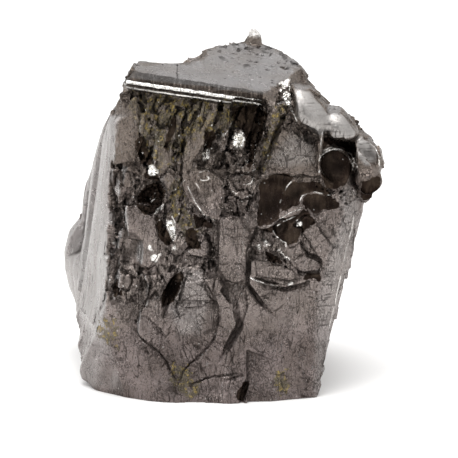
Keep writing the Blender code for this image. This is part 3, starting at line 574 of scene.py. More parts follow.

# The rims' paths: the relief raises them a little, and the material paints a highlight line along each.
RIMS: dict[str, Outline] = {
    "cup_rim": (
        (11.3, 28.4), (12.0, 29.3), (12.9, 29.5), (14.0, 29.2), (14.8, 28.5), (15.4, 27.4), (15.4, 26.7),
    ),
    "lobe_rim": (
        (15.9, 30.6), (16.7, 30.6), (17.5, 30.2), (18.1, 29.3), (18.5, 28.3), (18.5, 26.9), (18.0, 26.0),
        (17.0, 25.5),
    ),
    "knob_edge": ((8.0, 37.2), (7.9, 35.6), (8.1, 34.0), (8.7, 32.9)),
    "blade": ((11.7, 31.5), (11.5, 30.5), (11.4, 28.6), (11.3, 26.9)),
    "crescent_foot": ((4.6, 20.3), (5.8, 20.7), (6.8, 21.4), (7.7, 22.0), (8.5, 22.3), (9.2, 22.5)),
    "crescent_rim": ((6.8, 23.2), (7.0, 24.0), (7.4, 24.8), (7.7, 25.3), (8.1, 25.7)),
    "disc_rim": ((9.1, 23.3), (9.4, 24.0), (10.0, 24.3), (10.9, 24.5), (11.8, 24.3), (12.6, 24.1)),
    "under_rim": ((6.5, 20.5), (7.2, 21.0), (8.0, 21.5), (8.6, 21.7)),
    "scallop_light": ((3.3, 14.8), (4.0, 14.4), (4.9, 14.0), (5.9, 13.8), (6.9, 13.6)),
    "petal": ((6.0, 20.0), (6.4, 19.4), (6.9, 18.9), (7.5, 18.6), (7.5, 18.1)),
    "cavity_a": ((-8.3, 23.3), (-7.8, 23.7), (-7.3, 24.3)),
    "cavity_b": ((-8.0, 21.9), (-7.4, 22.4), (-6.7, 22.9)),
    "cavity_c": ((-7.8, 22.3), (-7.2, 22.8), (-6.8, 23.2)),
    "cavity_d": ((-8.4, 23.6), (-8.0, 24.1), (-7.8, 24.3)),
    "shield_rim": ((-4.4, 26.0), (-4.0, 26.5), (-3.4, 26.7), (-3.3, 26.2), (-2.9, 25.5), (-2.5, 24.9)),
    "shield_eye": ((-2.7, 26.3), (-2.4, 26.0), (-1.8, 26.0), (-1.4, 26.3), (-1.7, 26.5)),
    "shield_top": ((-3.3, 26.8), (-2.5, 27.0), (-1.6, 27.3)),
    "shield_side": ((-4.0, 25.5), (-3.6, 24.5), (-3.0, 23.3), (-2.1, 22.1), (-0.8, 21.3)),
    "right_edge": (
        (15.7, 21.3), (15.4, 19.6), (14.9, 17.9), (14.3, 15.0), (13.6, 12.0), (12.8, 8.6), (12.2, 5.1),
        (11.9, 1.3),
    ),
    "cup_arc": ((11.7, 28.8), (12.9, 29.3), (14.2, 29.1), (15.2, 28.5), (15.9, 27.2)),
    "arc_a": ((1.6, 27.8), (2.5, 28.4), (3.3, 28.0)),
    "arc_b": ((0.7, 26.3), (1.9, 25.5), (3.3, 25.6), (3.7, 26.3)),
    "arc_c": ((1.2, 24.9), (2.3, 24.1), (3.7, 24.2)),
    "arc_d": ((2.1, 26.5), (3.3, 27.0), (4.0, 27.2)),
    "hollow_a": ((-5.9, 22.0), (-5.5, 21.1), (-5.2, 20.0), (-5.6, 19.0)),
    "hollow_b": ((-6.9, 23.1), (-7.2, 22.3), (-7.5, 21.1)),
    "upper_a": ((-0.1, 31.6), (0.5, 30.4), (0.4, 29.3)),
    "upper_b": ((1.3, 33.0), (0.8, 31.8), (0.0, 31.0)),
}

LINES: dict[str, Trace] = {
    "vee_right": Trace(
        ((-2.0, 14.7), (-1.2, 13.1), (-0.5, 11.7), (-0.3, 10.4), (-0.7, 9.0), (-1.0, 7.4), (-1.7, 6.3),
         (-2.7, 5.3), (-3.7, 4.4), (-4.6, 3.3), (-5.3, 1.9)), 0.16,
    ),
    "vee_right_top": Trace(((-2.0, 14.6), (-2.0, 16.3), (-1.3, 17.9), (-1.5, 19.3), (-2.2, 20.5)), 0.14),
    "vee_left": Trace(
        ((-10.3, 8.9), (-9.6, 7.7), (-8.4, 6.7), (-7.3, 5.8), (-6.4, 4.5), (-5.7, 3.1), (-5.2, 1.9)), 0.15,
    ),
    "vee_left_top": Trace(((-8.6, 15.8), (-8.2, 14.0), (-8.7, 12.2), (-9.6, 10.7), (-10.3, 8.8)), 0.18),
    "slot_side": Trace(((-4.9, 15.6), (-4.4, 14.0), (-5.0, 12.2), (-5.4, 11.0), (-4.7, 9.5)), 0.14),
    "slot_foot": Trace(((-5.4, 11.6), (-4.3, 11.9), (-3.0, 11.7), (-1.9, 11.9), (-0.9, 11.7))),
    "slot_cross": Trace(((-4.4, 12.1), (-3.5, 13.0), (-2.6, 13.7), (-2.0, 14.4))),
    "seam": Trace(
        ((-12.6, 27.9), (-13.0, 26.2), (-12.8, 24.9), (-12.4, 23.5), (-12.3, 22.0), (-12.6, 19.6),
         (-13.0, 17.3), (-13.3, 15.4), (-13.5, 13.3), (-14.0, 11.6), (-14.9, 9.2), (-15.8, 7.0),
         (-16.8, 5.2)), 0.16,
    ),
    "left_chip": Trace(((-14.9, 27.5), (-15.7, 26.9), (-16.0, 26.4)), 0.2),
    "foot_ledge": Trace(((-4.2, 1.8), (-2.6, 2.4), (-0.9, 3.0), (0.9, 3.3), (2.1, 3.6)), 0.14),
    "foot_mid": Trace(((7.4, 0.6), (7.4, 1.6), (6.9, 2.7), (7.3, 3.9))),
    "foot_right": Trace(((9.8, 0.6), (10.1, 1.8), (10.6, 2.7))),
    "face_right": Trace(((11.2, 14.9), (11.1, 13.3), (10.9, 11.7))),
    "tri_a": Trace(((4.7, 28.4), (5.8, 29.4), (7.0, 30.4), (8.0, 31.6)), 0.03),
    "tri_b": Trace(((5.1, 27.0), (7.0, 27.7), (9.1, 28.0), (11.2, 27.7)), 0.03),
    "tri_c": Trace(((6.2, 30.0), (7.9, 29.2), (9.7, 28.6), (11.3, 28.4)), 0.03),
    "tri_d": Trace(((4.9, 27.6), (6.8, 28.7), (8.7, 30.0), (9.8, 30.7)), 0.03),
    "tri_e": Trace(((8.1, 32.1), (9.0, 30.4), (10.1, 28.8), (11.0, 27.2)), 0.03),
    "crown": Trace(((3.9, 26.5), (5.4, 27.1), (7.2, 27.1), (9.1, 26.5), (11.2, 26.3), (12.6, 26.0)), 0.08),
    "strip_edge": Trace(((15.2, 23.0), (13.6, 19.9), (12.4, 16.3), (11.8, 12.7), (11.3, 8.1))),
    "knob_rib_a": Trace(((8.0, 33.7), (8.7, 32.6), (9.7, 31.8), (10.7, 31.1)), 0.03),
    "knob_rib_b": Trace(((7.8, 33.1), (8.5, 32.2), (9.4, 31.4), (10.5, 30.8)), 0.03),
    "knob_rib_c": Trace(((7.6, 32.5), (8.3, 31.7), (9.1, 31.0)), 0.03),
    "cup_arc_a": Trace(((11.7, 29.8), (12.7, 30.2), (13.9, 29.9), (14.8, 29.2), (15.6, 28.2))),
    "cup_arc_b": Trace(((11.6, 30.3), (12.8, 30.6), (14.4, 30.4), (15.3, 29.5))),
    "low_left_a": Trace(((-13.8, 6.0), (-12.9, 6.3), (-11.8, 5.8), (-10.8, 6.0))),
    "low_left_b": Trace(((-12.2, 8.6), (-11.0, 7.9), (-10.1, 8.1))),
    "low_left_c": Trace(((-13.3, 10.0), (-12.2, 9.6), (-11.0, 10.0), (-10.1, 9.6))),
    "corner_a": Trace(((-14.8, 3.6), (-14.1, 4.1), (-13.6, 5.1))),
    "field_a": Trace(((-10.0, 11.4), (-8.4, 11.2), (-6.5, 11.3), (-5.1, 11.1))),
    "field_b": Trace(((-8.4, 9.8), (-7.3, 8.6), (-6.1, 8.1))),
    "field_c": Trace(((-3.0, 10.7), (-2.1, 9.6), (-1.4, 8.6))),
    "field_d": Trace(((-5.4, 5.1), (-4.2, 5.5), (-3.0, 6.3))),
    "left_plate": Trace(((-10.9, 23.2), (-10.2, 22.4), (-9.5, 21.9))),
    "right_low_a": Trace(((4.7, 12.9), (5.9, 12.1), (6.8, 11.0))),
    "right_low_b": Trace(((8.4, 9.3), (9.6, 8.9), (10.5, 9.1), (11.3, 8.6))),
    "right_low_c": Trace(((5.4, 7.4), (6.8, 6.7), (8.2, 7.0), (9.9, 6.0))),
    "right_low_d": Trace(((4.0, 8.6), (4.7, 6.8), (4.5, 4.8))),
    "scallop": Trace(((3.7, 14.8), (4.5, 14.5), (5.3, 14.2), (6.2, 14.0), (7.0, 13.9)), 0.4),
    "scallop_thin": Trace(((7.0, 13.9), (8.0, 14.3), (9.1, 14.4))),
    "face_a": Trace(((10.7, 21.3), (11.6, 20.1), (12.3, 19.1), (13.2, 17.9), (13.8, 17.2))),
    "face_b": Trace(((11.4, 21.4), (12.3, 20.4), (13.2, 19.3), (13.8, 18.2), (14.0, 17.2))),
    "face_c": Trace(((12.2, 21.7), (12.9, 20.6), (13.3, 19.4), (13.9, 18.2))),
    "face_d": Trace(((13.8, 22.9), (14.2, 21.7), (14.4, 20.6), (15.0, 19.1)), 0.1),
    "fan_a": Trace(((10.1, 19.4), (10.3, 18.5), (10.8, 17.6))),
    "fan_b": Trace(((9.6, 19.7), (9.8, 18.7), (10.3, 17.8))),
    "kidney_edge": Trace(
        ((9.1, 19.1), (9.6, 17.9), (10.2, 17.2), (11.0, 17.0), (11.6, 16.3), (11.7, 15.4)), 0.22,
    ),
    "right_tick": Trace(((14.5, 20.5), (15.3, 20.4)), 0.1),
    "right_tick_low": Trace(((14.6, 19.4), (15.1, 19.3)), 0.1),
    "long_a": Trace(
        ((4.2, 20.8), (4.0, 20.0), (3.6, 19.0), (3.1, 18.1), (3.2, 16.7), (3.0, 14.9), (2.8, 14.0),
         (2.4, 13.2)), 0.22,
    ),
    "long_b": Trace(((2.8, 14.1), (3.6, 13.0), (4.5, 11.8), (5.3, 10.9)), 0.12),
    "column_left": Trace(((-1.5, 18.5), (-1.1, 16.7), (-0.7, 15.3), (-1.0, 13.8), (-0.8, 12.3)), 0.16),
    "kite_side": Trace(((-2.0, 14.5), (-1.8, 13.4), (-1.1, 12.2), (-0.7, 11.6)), 0.2),
    "kite_left": Trace(((-4.0, 15.2), (-4.6, 13.8), (-4.9, 12.3), (-5.2, 11.4)), 0.14),
    "column_tick": Trace(((-0.2, 14.2), (0.8, 14.4), (2.0, 14.1)), 0.14),
    "foot_notch": Trace(((2.2, 0.0), (2.5, 1.2), (3.1, 2.3)), 0.3),
    "foot_notch_top": Trace(((3.1, 2.3), (3.4, 3.8), (3.3, 5.5))),
    "left_seam_low": Trace(((-11.5, 19.1), (-11.9, 17.4), (-12.4, 14.9), (-12.7, 13.5), (-12.8, 12.1)), 0.16),
    "cavity_crack": Trace(((-9.7, 15.9), (-9.4, 15.0), (-9.3, 13.8), (-9.4, 12.9)), 0.18),
    "low_crack": Trace(((-8.4, 14.0), (-8.0, 13.0), (-8.6, 11.8)), 0.1),
    "piece_crack": Trace(((-10.7, 15.3), (-10.5, 14.1), (-10.8, 13.2), (-11.5, 13.1)), 0.14),
    "column_bones": Trace(((1.3, 22.3), (1.5, 19.4), (1.8, 16.6), (1.9, 14.5)), 0.02),
    "column_bones_left": Trace(((0.5, 19.2), (0.2, 16.6), (0.0, 14.2)), 0.02),
    "back_crack": Trace(
        ((2.4, 37.4), (2.0, 30.5), (3.4, 25.6), (2.6, 20.8), (4.6, 16.4)), 0.14, Side.BACK_HIGH,
    ),
    "back_fork": Trace(((2.2, 31.0), (-0.4, 28.4), (-3.0, 28.0), (-5.6, 25.6)), 0.05, Side.BACK_HIGH),
    "back_fork_high": Trace(((2.2, 33.0), (4.6, 34.4), (7.0, 33.6)), 0.04, Side.BACK_HIGH),
    "back_cross": Trace(((-10.8, 27.2), (-8.0, 26.6), (-5.6, 27.2), (-3.6, 26.4)), 0.03, Side.BACK_HIGH),
    "back_side": Trace(((6.2, 31.6), (7.2, 27.4), (6.4, 23.4), (8.0, 21.0)), 0.05, Side.BACK_HIGH),
    "back_side_cross": Trace(((3.4, 27.6), (5.4, 26.4), (7.4, 26.8), (9.8, 25.2)), 0.04, Side.BACK_HIGH),
    "back_low_crack": Trace(((5.0, 16.0), (3.2, 11.0), (4.4, 6.2), (2.8, 0.4)), 0.12, Side.BACK),
    "low_fork": Trace(((3.2, 11.0), (0.6, 9.4), (-1.8, 10.0), (-4.6, 8.4)), 0.05, Side.BACK),
    "low_shell": Trace(((-3.0, 14.6), (-1.0, 13.2), (1.4, 12.6), (3.6, 13.2)), 0.04, Side.BACK),
    "low_left": Trace(((4.6, 8.0), (6.6, 7.2), (8.8, 7.8), (10.6, 6.4)), 0.04, Side.BACK),
    "low_foot": Trace(((7.0, 7.4), (6.2, 4.4), (7.4, 2.2), (6.8, 0.2)), 0.04, Side.BACK),
    "corner_crack": Trace(((3.6, 23.0), (2.4, 14.6), (3.6, 8.8), (2.6, 1.0)), 0.12, Side.BACK_RIGHT),
    "corner_fork": Trace(((2.6, 15.0), (0.2, 13.4), (-2.4, 12.2), (-4.8, 13.0)), 0.04, Side.BACK_RIGHT),
    "corner_low": Trace(((3.4, 8.8), (0.6, 7.6), (-1.4, 8.6), (-3.8, 7.0)), 0.04, Side.BACK_RIGHT),
    "right_crack": Trace(((-5.8, 22.0), (-5.0, 14.0), (-5.8, 7.6), (-5.2, 1.0)), 0.1, Side.RIGHT),
    "right_cross": Trace(((-5.2, 13.0), (-2.6, 12.0), (0.0, 12.6), (1.8, 11.4)), 0.04, Side.RIGHT),
    "right_back": Trace(((4.4, 23.0), (3.4, 15.6), (4.2, 8.4), (3.2, 0.6)), 0.1, Side.RIGHT),
    "right_low": Trace(((4.0, 8.6), (6.4, 7.4), (8.8, 8.4)), 0.04, Side.RIGHT),
    "left_long": Trace(((-5.0, 27.0), (-5.4, 22.6), (-5.2, 18.6)), 0.03, Side.LEFT),
    "left_cross": Trace(((-3.6, 27.6), (-2.4, 26.8), (-1.0, 27.2), (0.6, 26.2)), 0.03, Side.LEFT),
    "left_side_chip": Trace(((4.6, 25.8), (3.4, 25.2), (2.6, 25.6)), 0.06, Side.LEFT),
}

FLAKES: dict[str, Patch] = {
    "plate_left": Patch(
        ((-11.4, 35.2), (-9.9, 35.0), (-8.9, 33.4), (-9.1, 30.6), (-10.2, 27.8), (-11.6, 27.6), (-12.8, 28.2),
         (-12.9, 30.6), (-12.4, 33.4))
    ),
    "splinter_a": Patch(((-8.2, 34.2), (-7.7, 33.6), (-8.0, 32.2), (-8.4, 32.8))),
    "splinter_b": Patch(((-5.3, 33.4), (-4.5, 33.0), (-5.5, 30.8), (-6.4, 30.4), (-6.8, 30.8), (-6.1, 32.2))),
    "splinter_c": Patch(((-7.3, 30.0), (-6.4, 30.0), (-6.1, 28.6), (-6.5, 26.8), (-7.2, 27.0), (-7.6, 28.6))),
    "splinter_d": Patch(((-10.6, 35.8), (-9.6, 35.7), (-9.4, 35.2), (-10.3, 35.0))),
    "leaf": Patch(
        ((-3.5, 31.5), (-2.0, 32.0), (-1.7, 30.8), (-2.8, 29.2), (-3.4, 27.8), (-4.2, 26.8), (-4.7, 27.0),
         (-4.6, 29.2))
    ),
    "chip_a": Patch(((-8.6, 30.8), (-7.9, 30.8), (-7.8, 30.0), (-8.5, 29.7))),
    "chip_b": Patch(((-0.3, 32.9), (0.4, 32.5), (-0.1, 31.8), (-0.7, 32.1))),
    "streak": Patch(((-1.5, 33.8), (-0.7, 33.6), (-2.0, 31.8), (-2.6, 31.7))),
    "tooth": Patch(((-8.8, 15.6), (-7.7, 16.1), (-7.5, 14.8), (-7.9, 13.6), (-8.8, 14.0))),
    "back_a": Patch(((-5.6, 21.2), (-3.8, 21.6), (-3.0, 20.2), (-4.6, 19.6)), Side.BACK),
    "back_b": Patch(((2.8, 12.6), (4.4, 13.2), (5.0, 10.8), (3.4, 10.2)), Side.BACK),
    "corner_a": Patch(((2.4, 19.0), (3.6, 18.6), (3.4, 15.6), (2.6, 16.0)), Side.BACK_RIGHT),
    "side_a": Patch(((0.6, 30.4), (2.8, 31.2), (3.6, 28.6), (1.4, 27.4)), Side.RIGHT),
    "plate_low": Patch(
        ((-11.0, 23.0), (-9.8, 23.0), (-8.7, 22.3), (-7.8, 21.4), (-7.5, 20.0), (-7.7, 18.8),
         (-8.7, 18.2), (-9.4, 19.1), (-10.6, 19.1), (-11.1, 20.6), (-11.2, 21.7)),
    ),
    "kidney": Patch(
        ((7.5, 17.9), (8.4, 18.0), (9.1, 18.5), (10.0, 17.0), (11.2, 16.6), (11.6, 15.8),
         (11.2, 15.4), (10.3, 15.4), (9.4, 15.1), (9.0, 15.5), (8.0, 16.4), (7.1, 17.1)),
    ),
    "fan": Patch(
        ((9.3, 19.8), (10.3, 20.7), (10.9, 21.2), (11.7, 20.0), (12.3, 19.0), (13.4, 17.6),
         (12.3, 17.1), (11.2, 17.2), (10.3, 17.4), (9.7, 18.4)),
    ),
    "petal": Patch(((7.7, 18.4), (8.3, 18.6), (9.0, 19.1), (9.1, 19.0), (8.7, 18.3), (7.8, 18.0))),
    "pad": Patch(
        ((3.6, 17.3), (4.9, 17.3), (5.5, 16.1), (6.9, 16.0), (8.3, 15.6), (9.1, 14.8), (8.0, 14.4),
         (6.5, 14.5), (4.7, 14.8), (3.6, 15.3), (3.4, 16.3)),
    ),
    "splinter_low": Patch(
        ((-12.2, 19.3), (-11.4, 19.4), (-11.8, 17.4), (-12.3, 15.0), (-12.7, 15.3), (-12.5, 17.4)),
    ),
    "nub": Patch(((-12.1, 15.2), (-10.7, 15.3), (-10.5, 14.1), (-11.1, 13.3), (-12.1, 13.5))),
    "rose_a": Patch(((-11.5, 27.3), (-10.5, 27.8), (-9.4, 26.8), (-9.8, 26.5), (-10.7, 27.1))),
    "rose_b": Patch(((-11.4, 26.9), (-10.7, 27.0), (-10.6, 25.2), (-11.7, 25.5))),
    "wedge": Patch(((-6.8, 26.8), (-6.0, 27.0), (-5.4, 26.2), (-6.0, 24.9), (-6.8, 25.5))),
    "drop": Patch(((-2.8, 20.3), (-2.1, 19.8), (-1.5, 18.4), (-1.8, 18.1), (-2.6, 18.9))),
    "kite": Patch(
        ((-4.0, 14.9), (-2.1, 15.2), (-2.3, 13.6), (-3.1, 12.9), (-4.8, 12.1), (-4.9, 12.7),
         (-4.6, 13.9)),
    ),
    "arm": Patch(
        ((-2.4, 18.8), (-1.8, 19.1), (-1.4, 17.9), (-2.0, 17.0), (-3.7, 17.2), (-4.0, 17.9),
         (-2.8, 18.2)),
    ),
    "low_pad": Patch(((-9.3, 15.5), (-8.0, 15.6), (-7.5, 14.6), (-8.4, 14.2), (-9.1, 14.6))),
}

RIDGE: Outline = ((-11.0, 37.95), (4.4, 35.75))
LEDGES = ((0.45, 0.2), (1.05, 0.16))  # how far each is below the ridge, and how far it stands out


@dataclass(frozen=True)
class Bite:
    """A ball in which the stone is pressed in by a depth, or swells by one that is below 0."""

    at: Triple
    radius: float
    depth: float


BITES: tuple[Bite, ...] = (
    Bite((-12.7, -8.8, 35.2), 3.0, 1.2),
    Bite((-17.0, -9.0, 2.4), 5.5, -0.4),
    Bite((17.4, -9.5, 24.2), 3.4, -2.0),
)


# ---- The relief -----------------------------------------------------------------------------------
class Surface:
    """Points with normals, and how much each belongs to every side."""

    def __init__(self, points: Array, normals: Array) -> None:
        """Reads the points.

        Args:
            points: N by 3, in millimetres.
            normals: N by 3, unit length.
        """
        self.points = points
        self.normals = normals
        self.plans = {side: side.plan(points) for side in Side}
        self.faced = {side: side.faced(points, normals) for side in Side}
        ragged = 0.8 * Noise(Seed.CLEAVAGE_EDGE)(points / 1.6)
        high = smooth_step(-points[:, 2] - 0.12 * points[:, 1] + ragged, -32.6, -31.8)
        flank = smooth_step(-points[:, 0], 13.5, 14.0) * smooth_step(-points[:, 1], -9.0, -7.0)
        flank = flank * smooth_step(points[:, 2], 9.0, 11.0)
        facing = Level.LEFT.faced(normals, 0.6, 0.82) * smooth_step(-points[:, 0], 6.0, 9.0)
        # The left cleavage's mask, weaker near the foot; the material lays its painted sheen and its fibres
        # by it.
        self.left = np.maximum(facing, flank) * high * (0.45 + 0.55 * smooth_step(points[:, 2], 5.5, 7.5))
        self.top = Level.TOP.faced(normals, 0.93, 0.985) * smooth_step(points[:, 2], 30.0, 33.0)

    def within(self, side: Side, outline: Outline, reach: float = 1.0) -> tuple[Array, Array]:
        """Finds the points in or near an outline.

        Args:
            side: the side it is laid out on.
            outline: the outline.
            reach: how far out to look, in mm.

        Returns:
            The points' numbers, and their distances inside the outline.
        """
        corners = np.array(outline)
        plan = self.plans[side]
        near = np.all((plan > corners.min(axis=0) - reach) & (plan < corners.max(axis=0) + reach), axis=1)
        chosen = np.nonzero(near & (self.faced[side] > 0.01))[0]
        return chosen, outline_distance(plan[chosen], outline)

    def traced(self, trace: Trace, wander: Array, reach: float) -> tuple[Array, Array, Array, float]:
        """Finds the points near a line.

        Args:
            trace: the line.
            wander: how far the line strays at each point, N by 2.
            reach: how far out to look, in mm.

        Returns:
            The points' numbers, their distances, their places along the line, and its length.
        """
        corners = np.array(trace.path)
        plan = self.plans[trace.side]
        near = np.all((plan > corners.min(axis=0) - reach) & (plan < corners.max(axis=0) + reach), axis=1)
        chosen = np.nonzero(near & (self.faced[trace.side] > 0.01))[0]
        distance, place, length = path_distance(plan[chosen] + wander[chosen], trace.path)
        return chosen, distance, place, length

    def wander(self) -> Array:
        """How far lines stray from their paths at each point, N by 2."""
        noise = Noise(Seed.WANDER)
        coarse = noise.vector(self.points / 2.2)[:, :2] * 0.22
        fine = noise.vector(self.points / 0.7 + 9.0)[:, :2] * 0.14
        return coarse + fine + noise.vector(self.points / 0.33 + 5.0)[:, :2] * 0.07

    def grain(self) -> Array:
        """How far each point is across the fibres of the left cleavage, in mm."""
        plan = self.plans[Side.LEFT]
        drift = Noise(Seed.GRAIN)(self.points / 8.0) * 0.8
        return plan[:, 0] + 0.06 * np.maximum(12.0 - plan[:, 1], 0.0) ** 2 + drift

    def below_ridge(self) -> Array:
        """Measures from the ridge.

        Returns:
            How far each point of the front is below the ridge, in mm, or -9 away from it.
        """
        start, end = np.array(RIDGE)
        run = (end - start) / np.linalg.norm(end - start)
        plan = self.plans[Side.FRONT]
        below = (plan - start) @ np.array([run[1], -run[0]])
        part = (plan - start) @ run
        near = (part > -0.8) & (part < np.linalg.norm(end - start) + 0.4) & (self.points[:, 1] < -6.5)
        return np.where(near, below, -9.0)


class Relief(Surface):
    """Moves the points of a fine mesh to break its surface as the stone's is broken."""

    def __init__(self, points: Array, normals: Array) -> None:
        """Starts from a mesh's points, in millimetres, and their normals."""
        super().__init__(points, normals)
        self.lift = np.zeros(len(points))
        self.flake = np.zeros(len(points))

    def flakes(self, patches: Iterable[Patch]) -> None:
        """Raises broad clean flakes, which the small chips leave whole.

        Args:
            patches: the flakes.
        """
        for index, patch in enumerate(patches):
            chosen, edge = self.within(patch.side, patch.outline)
            edge = edge + 0.35 * Noise(Seed.FLAKES)(self.points[chosen] / 0.8)
            share = smooth_step(edge, -0.06, 0.1) * self.faced[patch.side][chosen]
            middle = np.mean(np.array(patch.outline), axis=0)
            turn = 2.4 * index
            slope = (self.plans[patch.side][chosen] - middle) @ np.array([math.cos(turn), math.sin(turn)])
            self.lift[chosen] += share * (0.2 + 0.07 * slope)
            self.flake[chosen] = np.maximum(self.flake[chosen], share)

    def weathering(self) -> None:
        """Adds the slight bowing that every face has."""
        flat = 1.0 - 0.7 * np.maximum(self.top, self.left)
        self.lift += flat * 0.2 * Noise(Seed.BOWING).fractal(self.points / 6.5, 3)

    def shells(self, mask: Array, shells: Shells) -> None:
        """Breaks the surface into shallow bowls.

        Args:
            mask: how much each point takes part, 0 to 1.
            shells: the bowls.
        """
        chosen = np.nonzero(mask > 0.01)[0]
        noise = Noise(shells.seed)
        local = self.points[chosen] / shells.size
        local = local + 0.4 * noise.vector(local * 0.8)
        number, offset, gap = noise.cells(local)
        bowl = shells.depth * (0.4 + number / 255.0) * (np.minimum(gap, 1.0) ** 2 - 0.3)
        slope = np.einsum("ij,ij->i", offset, noise.directions[number]) * shells.depth * 0.7
        self.lift[chosen] += mask[chosen] * (bowl + slope)

    def chips(self, rubble: Rubble, seed: int) -> None:
        """Breaks an area of a side into small flat chips.

        Args:
            rubble: the area, and how it broke.
            seed: sets how the chips fall.
        """
        chosen, edge = self.within(rubble.side, rubble.outline)
        noise = Noise(seed)
        edge = edge + 0.9 * noise(self.points[chosen] / 0.9)
        mask = smooth_step(edge, -0.15, 0.25) * self.faced[rubble.side][chosen]
        mask = mask * (1.0 - 0.85 * self.flake[chosen])
        angle = math.radians(rubble.lean)
        plan = self.plans[rubble.side][chosen]
        across = plan[:, 0] * math.cos(angle) - plan[:, 1] * math.sin(angle)
        upward = plan[:, 0] * math.sin(angle) + plan[:, 1] * math.cos(angle)
        inward = rubble.side.depth(self.points[chosen])
        for part, share in ((1.0, 1.0), (0.4, 0.3)):
            size = rubble.size * part
            local = np.stack([across / size, inward / size, upward / (size * rubble.stretch)], axis=1)
            local = local + 0.22 * noise.vector(local * 1.7)
            number, offset, _ = noise.cells(local + 13.0 * part)
            level = (number / 255.0 - 0.5) * 2.0 * rubble.height * share
            slope = np.einsum("ij,ij->i", offset, noise.directions[number]) * size * rubble.tilt * 1.5
            self.lift[chosen] += mask * (level + slope)

    def cracks(self, traces: Iterable[Trace]) -> None:
        """Opens fine V-shaped cracks along the wider lines; the others are only drawn.

        Args:
            traces: the lines.
        """
        wander = self.wander()
        for trace in (trace for trace in traces if trace.width >= 0.1):
            half = trace.width * 0.6 + 0.14
            chosen, distance, place, length = self.traced(trace, wander, 1.5)
            taper = smooth_step(np.minimum(place, length - place), -0.2, 1.0)
            share = np.clip(1.0 - distance / (half * (0.6 + 0.4 * taper)), 0.0, 1.0)
            self.lift[chosen] -= self.faced[trace.side][chosen] * share * taper * (0.06 + 0.9 * trace.width)

    def rims(self, traces: Iterable[Trace]) -> None:
        """Raises the thin rims of the glassy scoops."""
        for trace in traces:
            chosen, distance, _, _ = self.traced(trace, np.zeros((len(self.points), 2)), 1.0)
            self.lift[chosen] += self.faced[trace.side][chosen] * 0.09 * smooth_step(-distance, -0.3, -0.05)

    def ripples(self, ripples: Ripples) -> None:
        """Presses shell-shaped ripples into a patch.

        Args:
            ripples: the patch and its ripples.
        """
        chosen, edge = self.within(ripples.patch.side, ripples.patch.outline)
        away = np.linalg.norm(self.plans[ripples.patch.side][chosen] - np.array(ripples.focus), axis=1)
        away = away + 0.3 * Noise(Seed.RIPPLES)(self.points[chosen] / 1.5)
        mask = smooth_step(edge, -0.3, 0.6) * self.faced[ripples.patch.side][chosen]
        self.lift[chosen] += mask * ripples.height * np.sin(away / ripples.spacing * 2.0 * math.pi)

    def fibres(self) -> None:
        """Gives the left cleavage its long stepped layers and its slits, from the broadest to the finest."""
        grain = self.grain()
        upward = self.points[:, 2]
        noise = Noise(Seed.FIBRES)
        coarse = noise(np.stack([grain * 0.45, upward * 0.03, 0.0 * grain], axis=1))
        steps = np.round(coarse * 6.0) / 6.0
        fine = noise(np.stack([grain * 1.5, upward * 0.07, 3.0 + 0.0 * grain], axis=1))
        thin = noise(np.stack([grain * 3.4, upward * 0.12, 6.0 + 0.0 * grain], axis=1))
        slits = noise(np.stack([grain * 2.2, upward * 0.16, 9.0 + 0.0 * grain], axis=1))
        self.lift += self.left * (0.1 * steps + 0.06 * fine + 0.03 * thin)
        self.lift -= self.left * 0.16 * smooth_step(slits, 0.36, 0.46)

    def ridge(self) -> None:
        """Cuts the two narrow ledges that run along the ridge between the top and the front."""
        below = self.below_ridge()
        jitter = 0.1 * Noise(Seed.LEDGES)(self.points / 1.1)
        for level, height in LEDGES:
            self.lift += (below > -1.0) * height * smooth_step(-np.abs(below - level + jitter), -0.3, -0.08)

    def pits(self) -> None:
        """Pits the top near its broken rim."""
        toward = self.points @ np.array([0.5, 0.86, 0.0])
        near = smooth_step(toward, -7.0, 6.0)
        pits = Noise(Seed.PITS).fractal(self.points / 0.8, 2)
        self.lift -= self.top * 0.25 * smooth_step(pits, 0.44 - 0.24 * near, 0.52 - 0.2 * near)
        peak = smooth_step(self.points[:, 2], 40.6, 41.6)
        self.lift += peak * 0.5 * Noise(Seed.PEAK).fractal(self.points / 0.9, 3)

    def bites(self, bites: Iterable[Bite]) -> None:
        """Nicks the outline."""
        for bite in bites:
            away = np.linalg.norm(self.points - np.array(bite.at), axis=1) / bite.radius
            self.lift -= bite.depth * smooth_step(-away, -1.0, -0.35)

    def moved(self) -> Array:
        """The points after the relief."""
        return self.points + self.normals * self.lift[:, None]


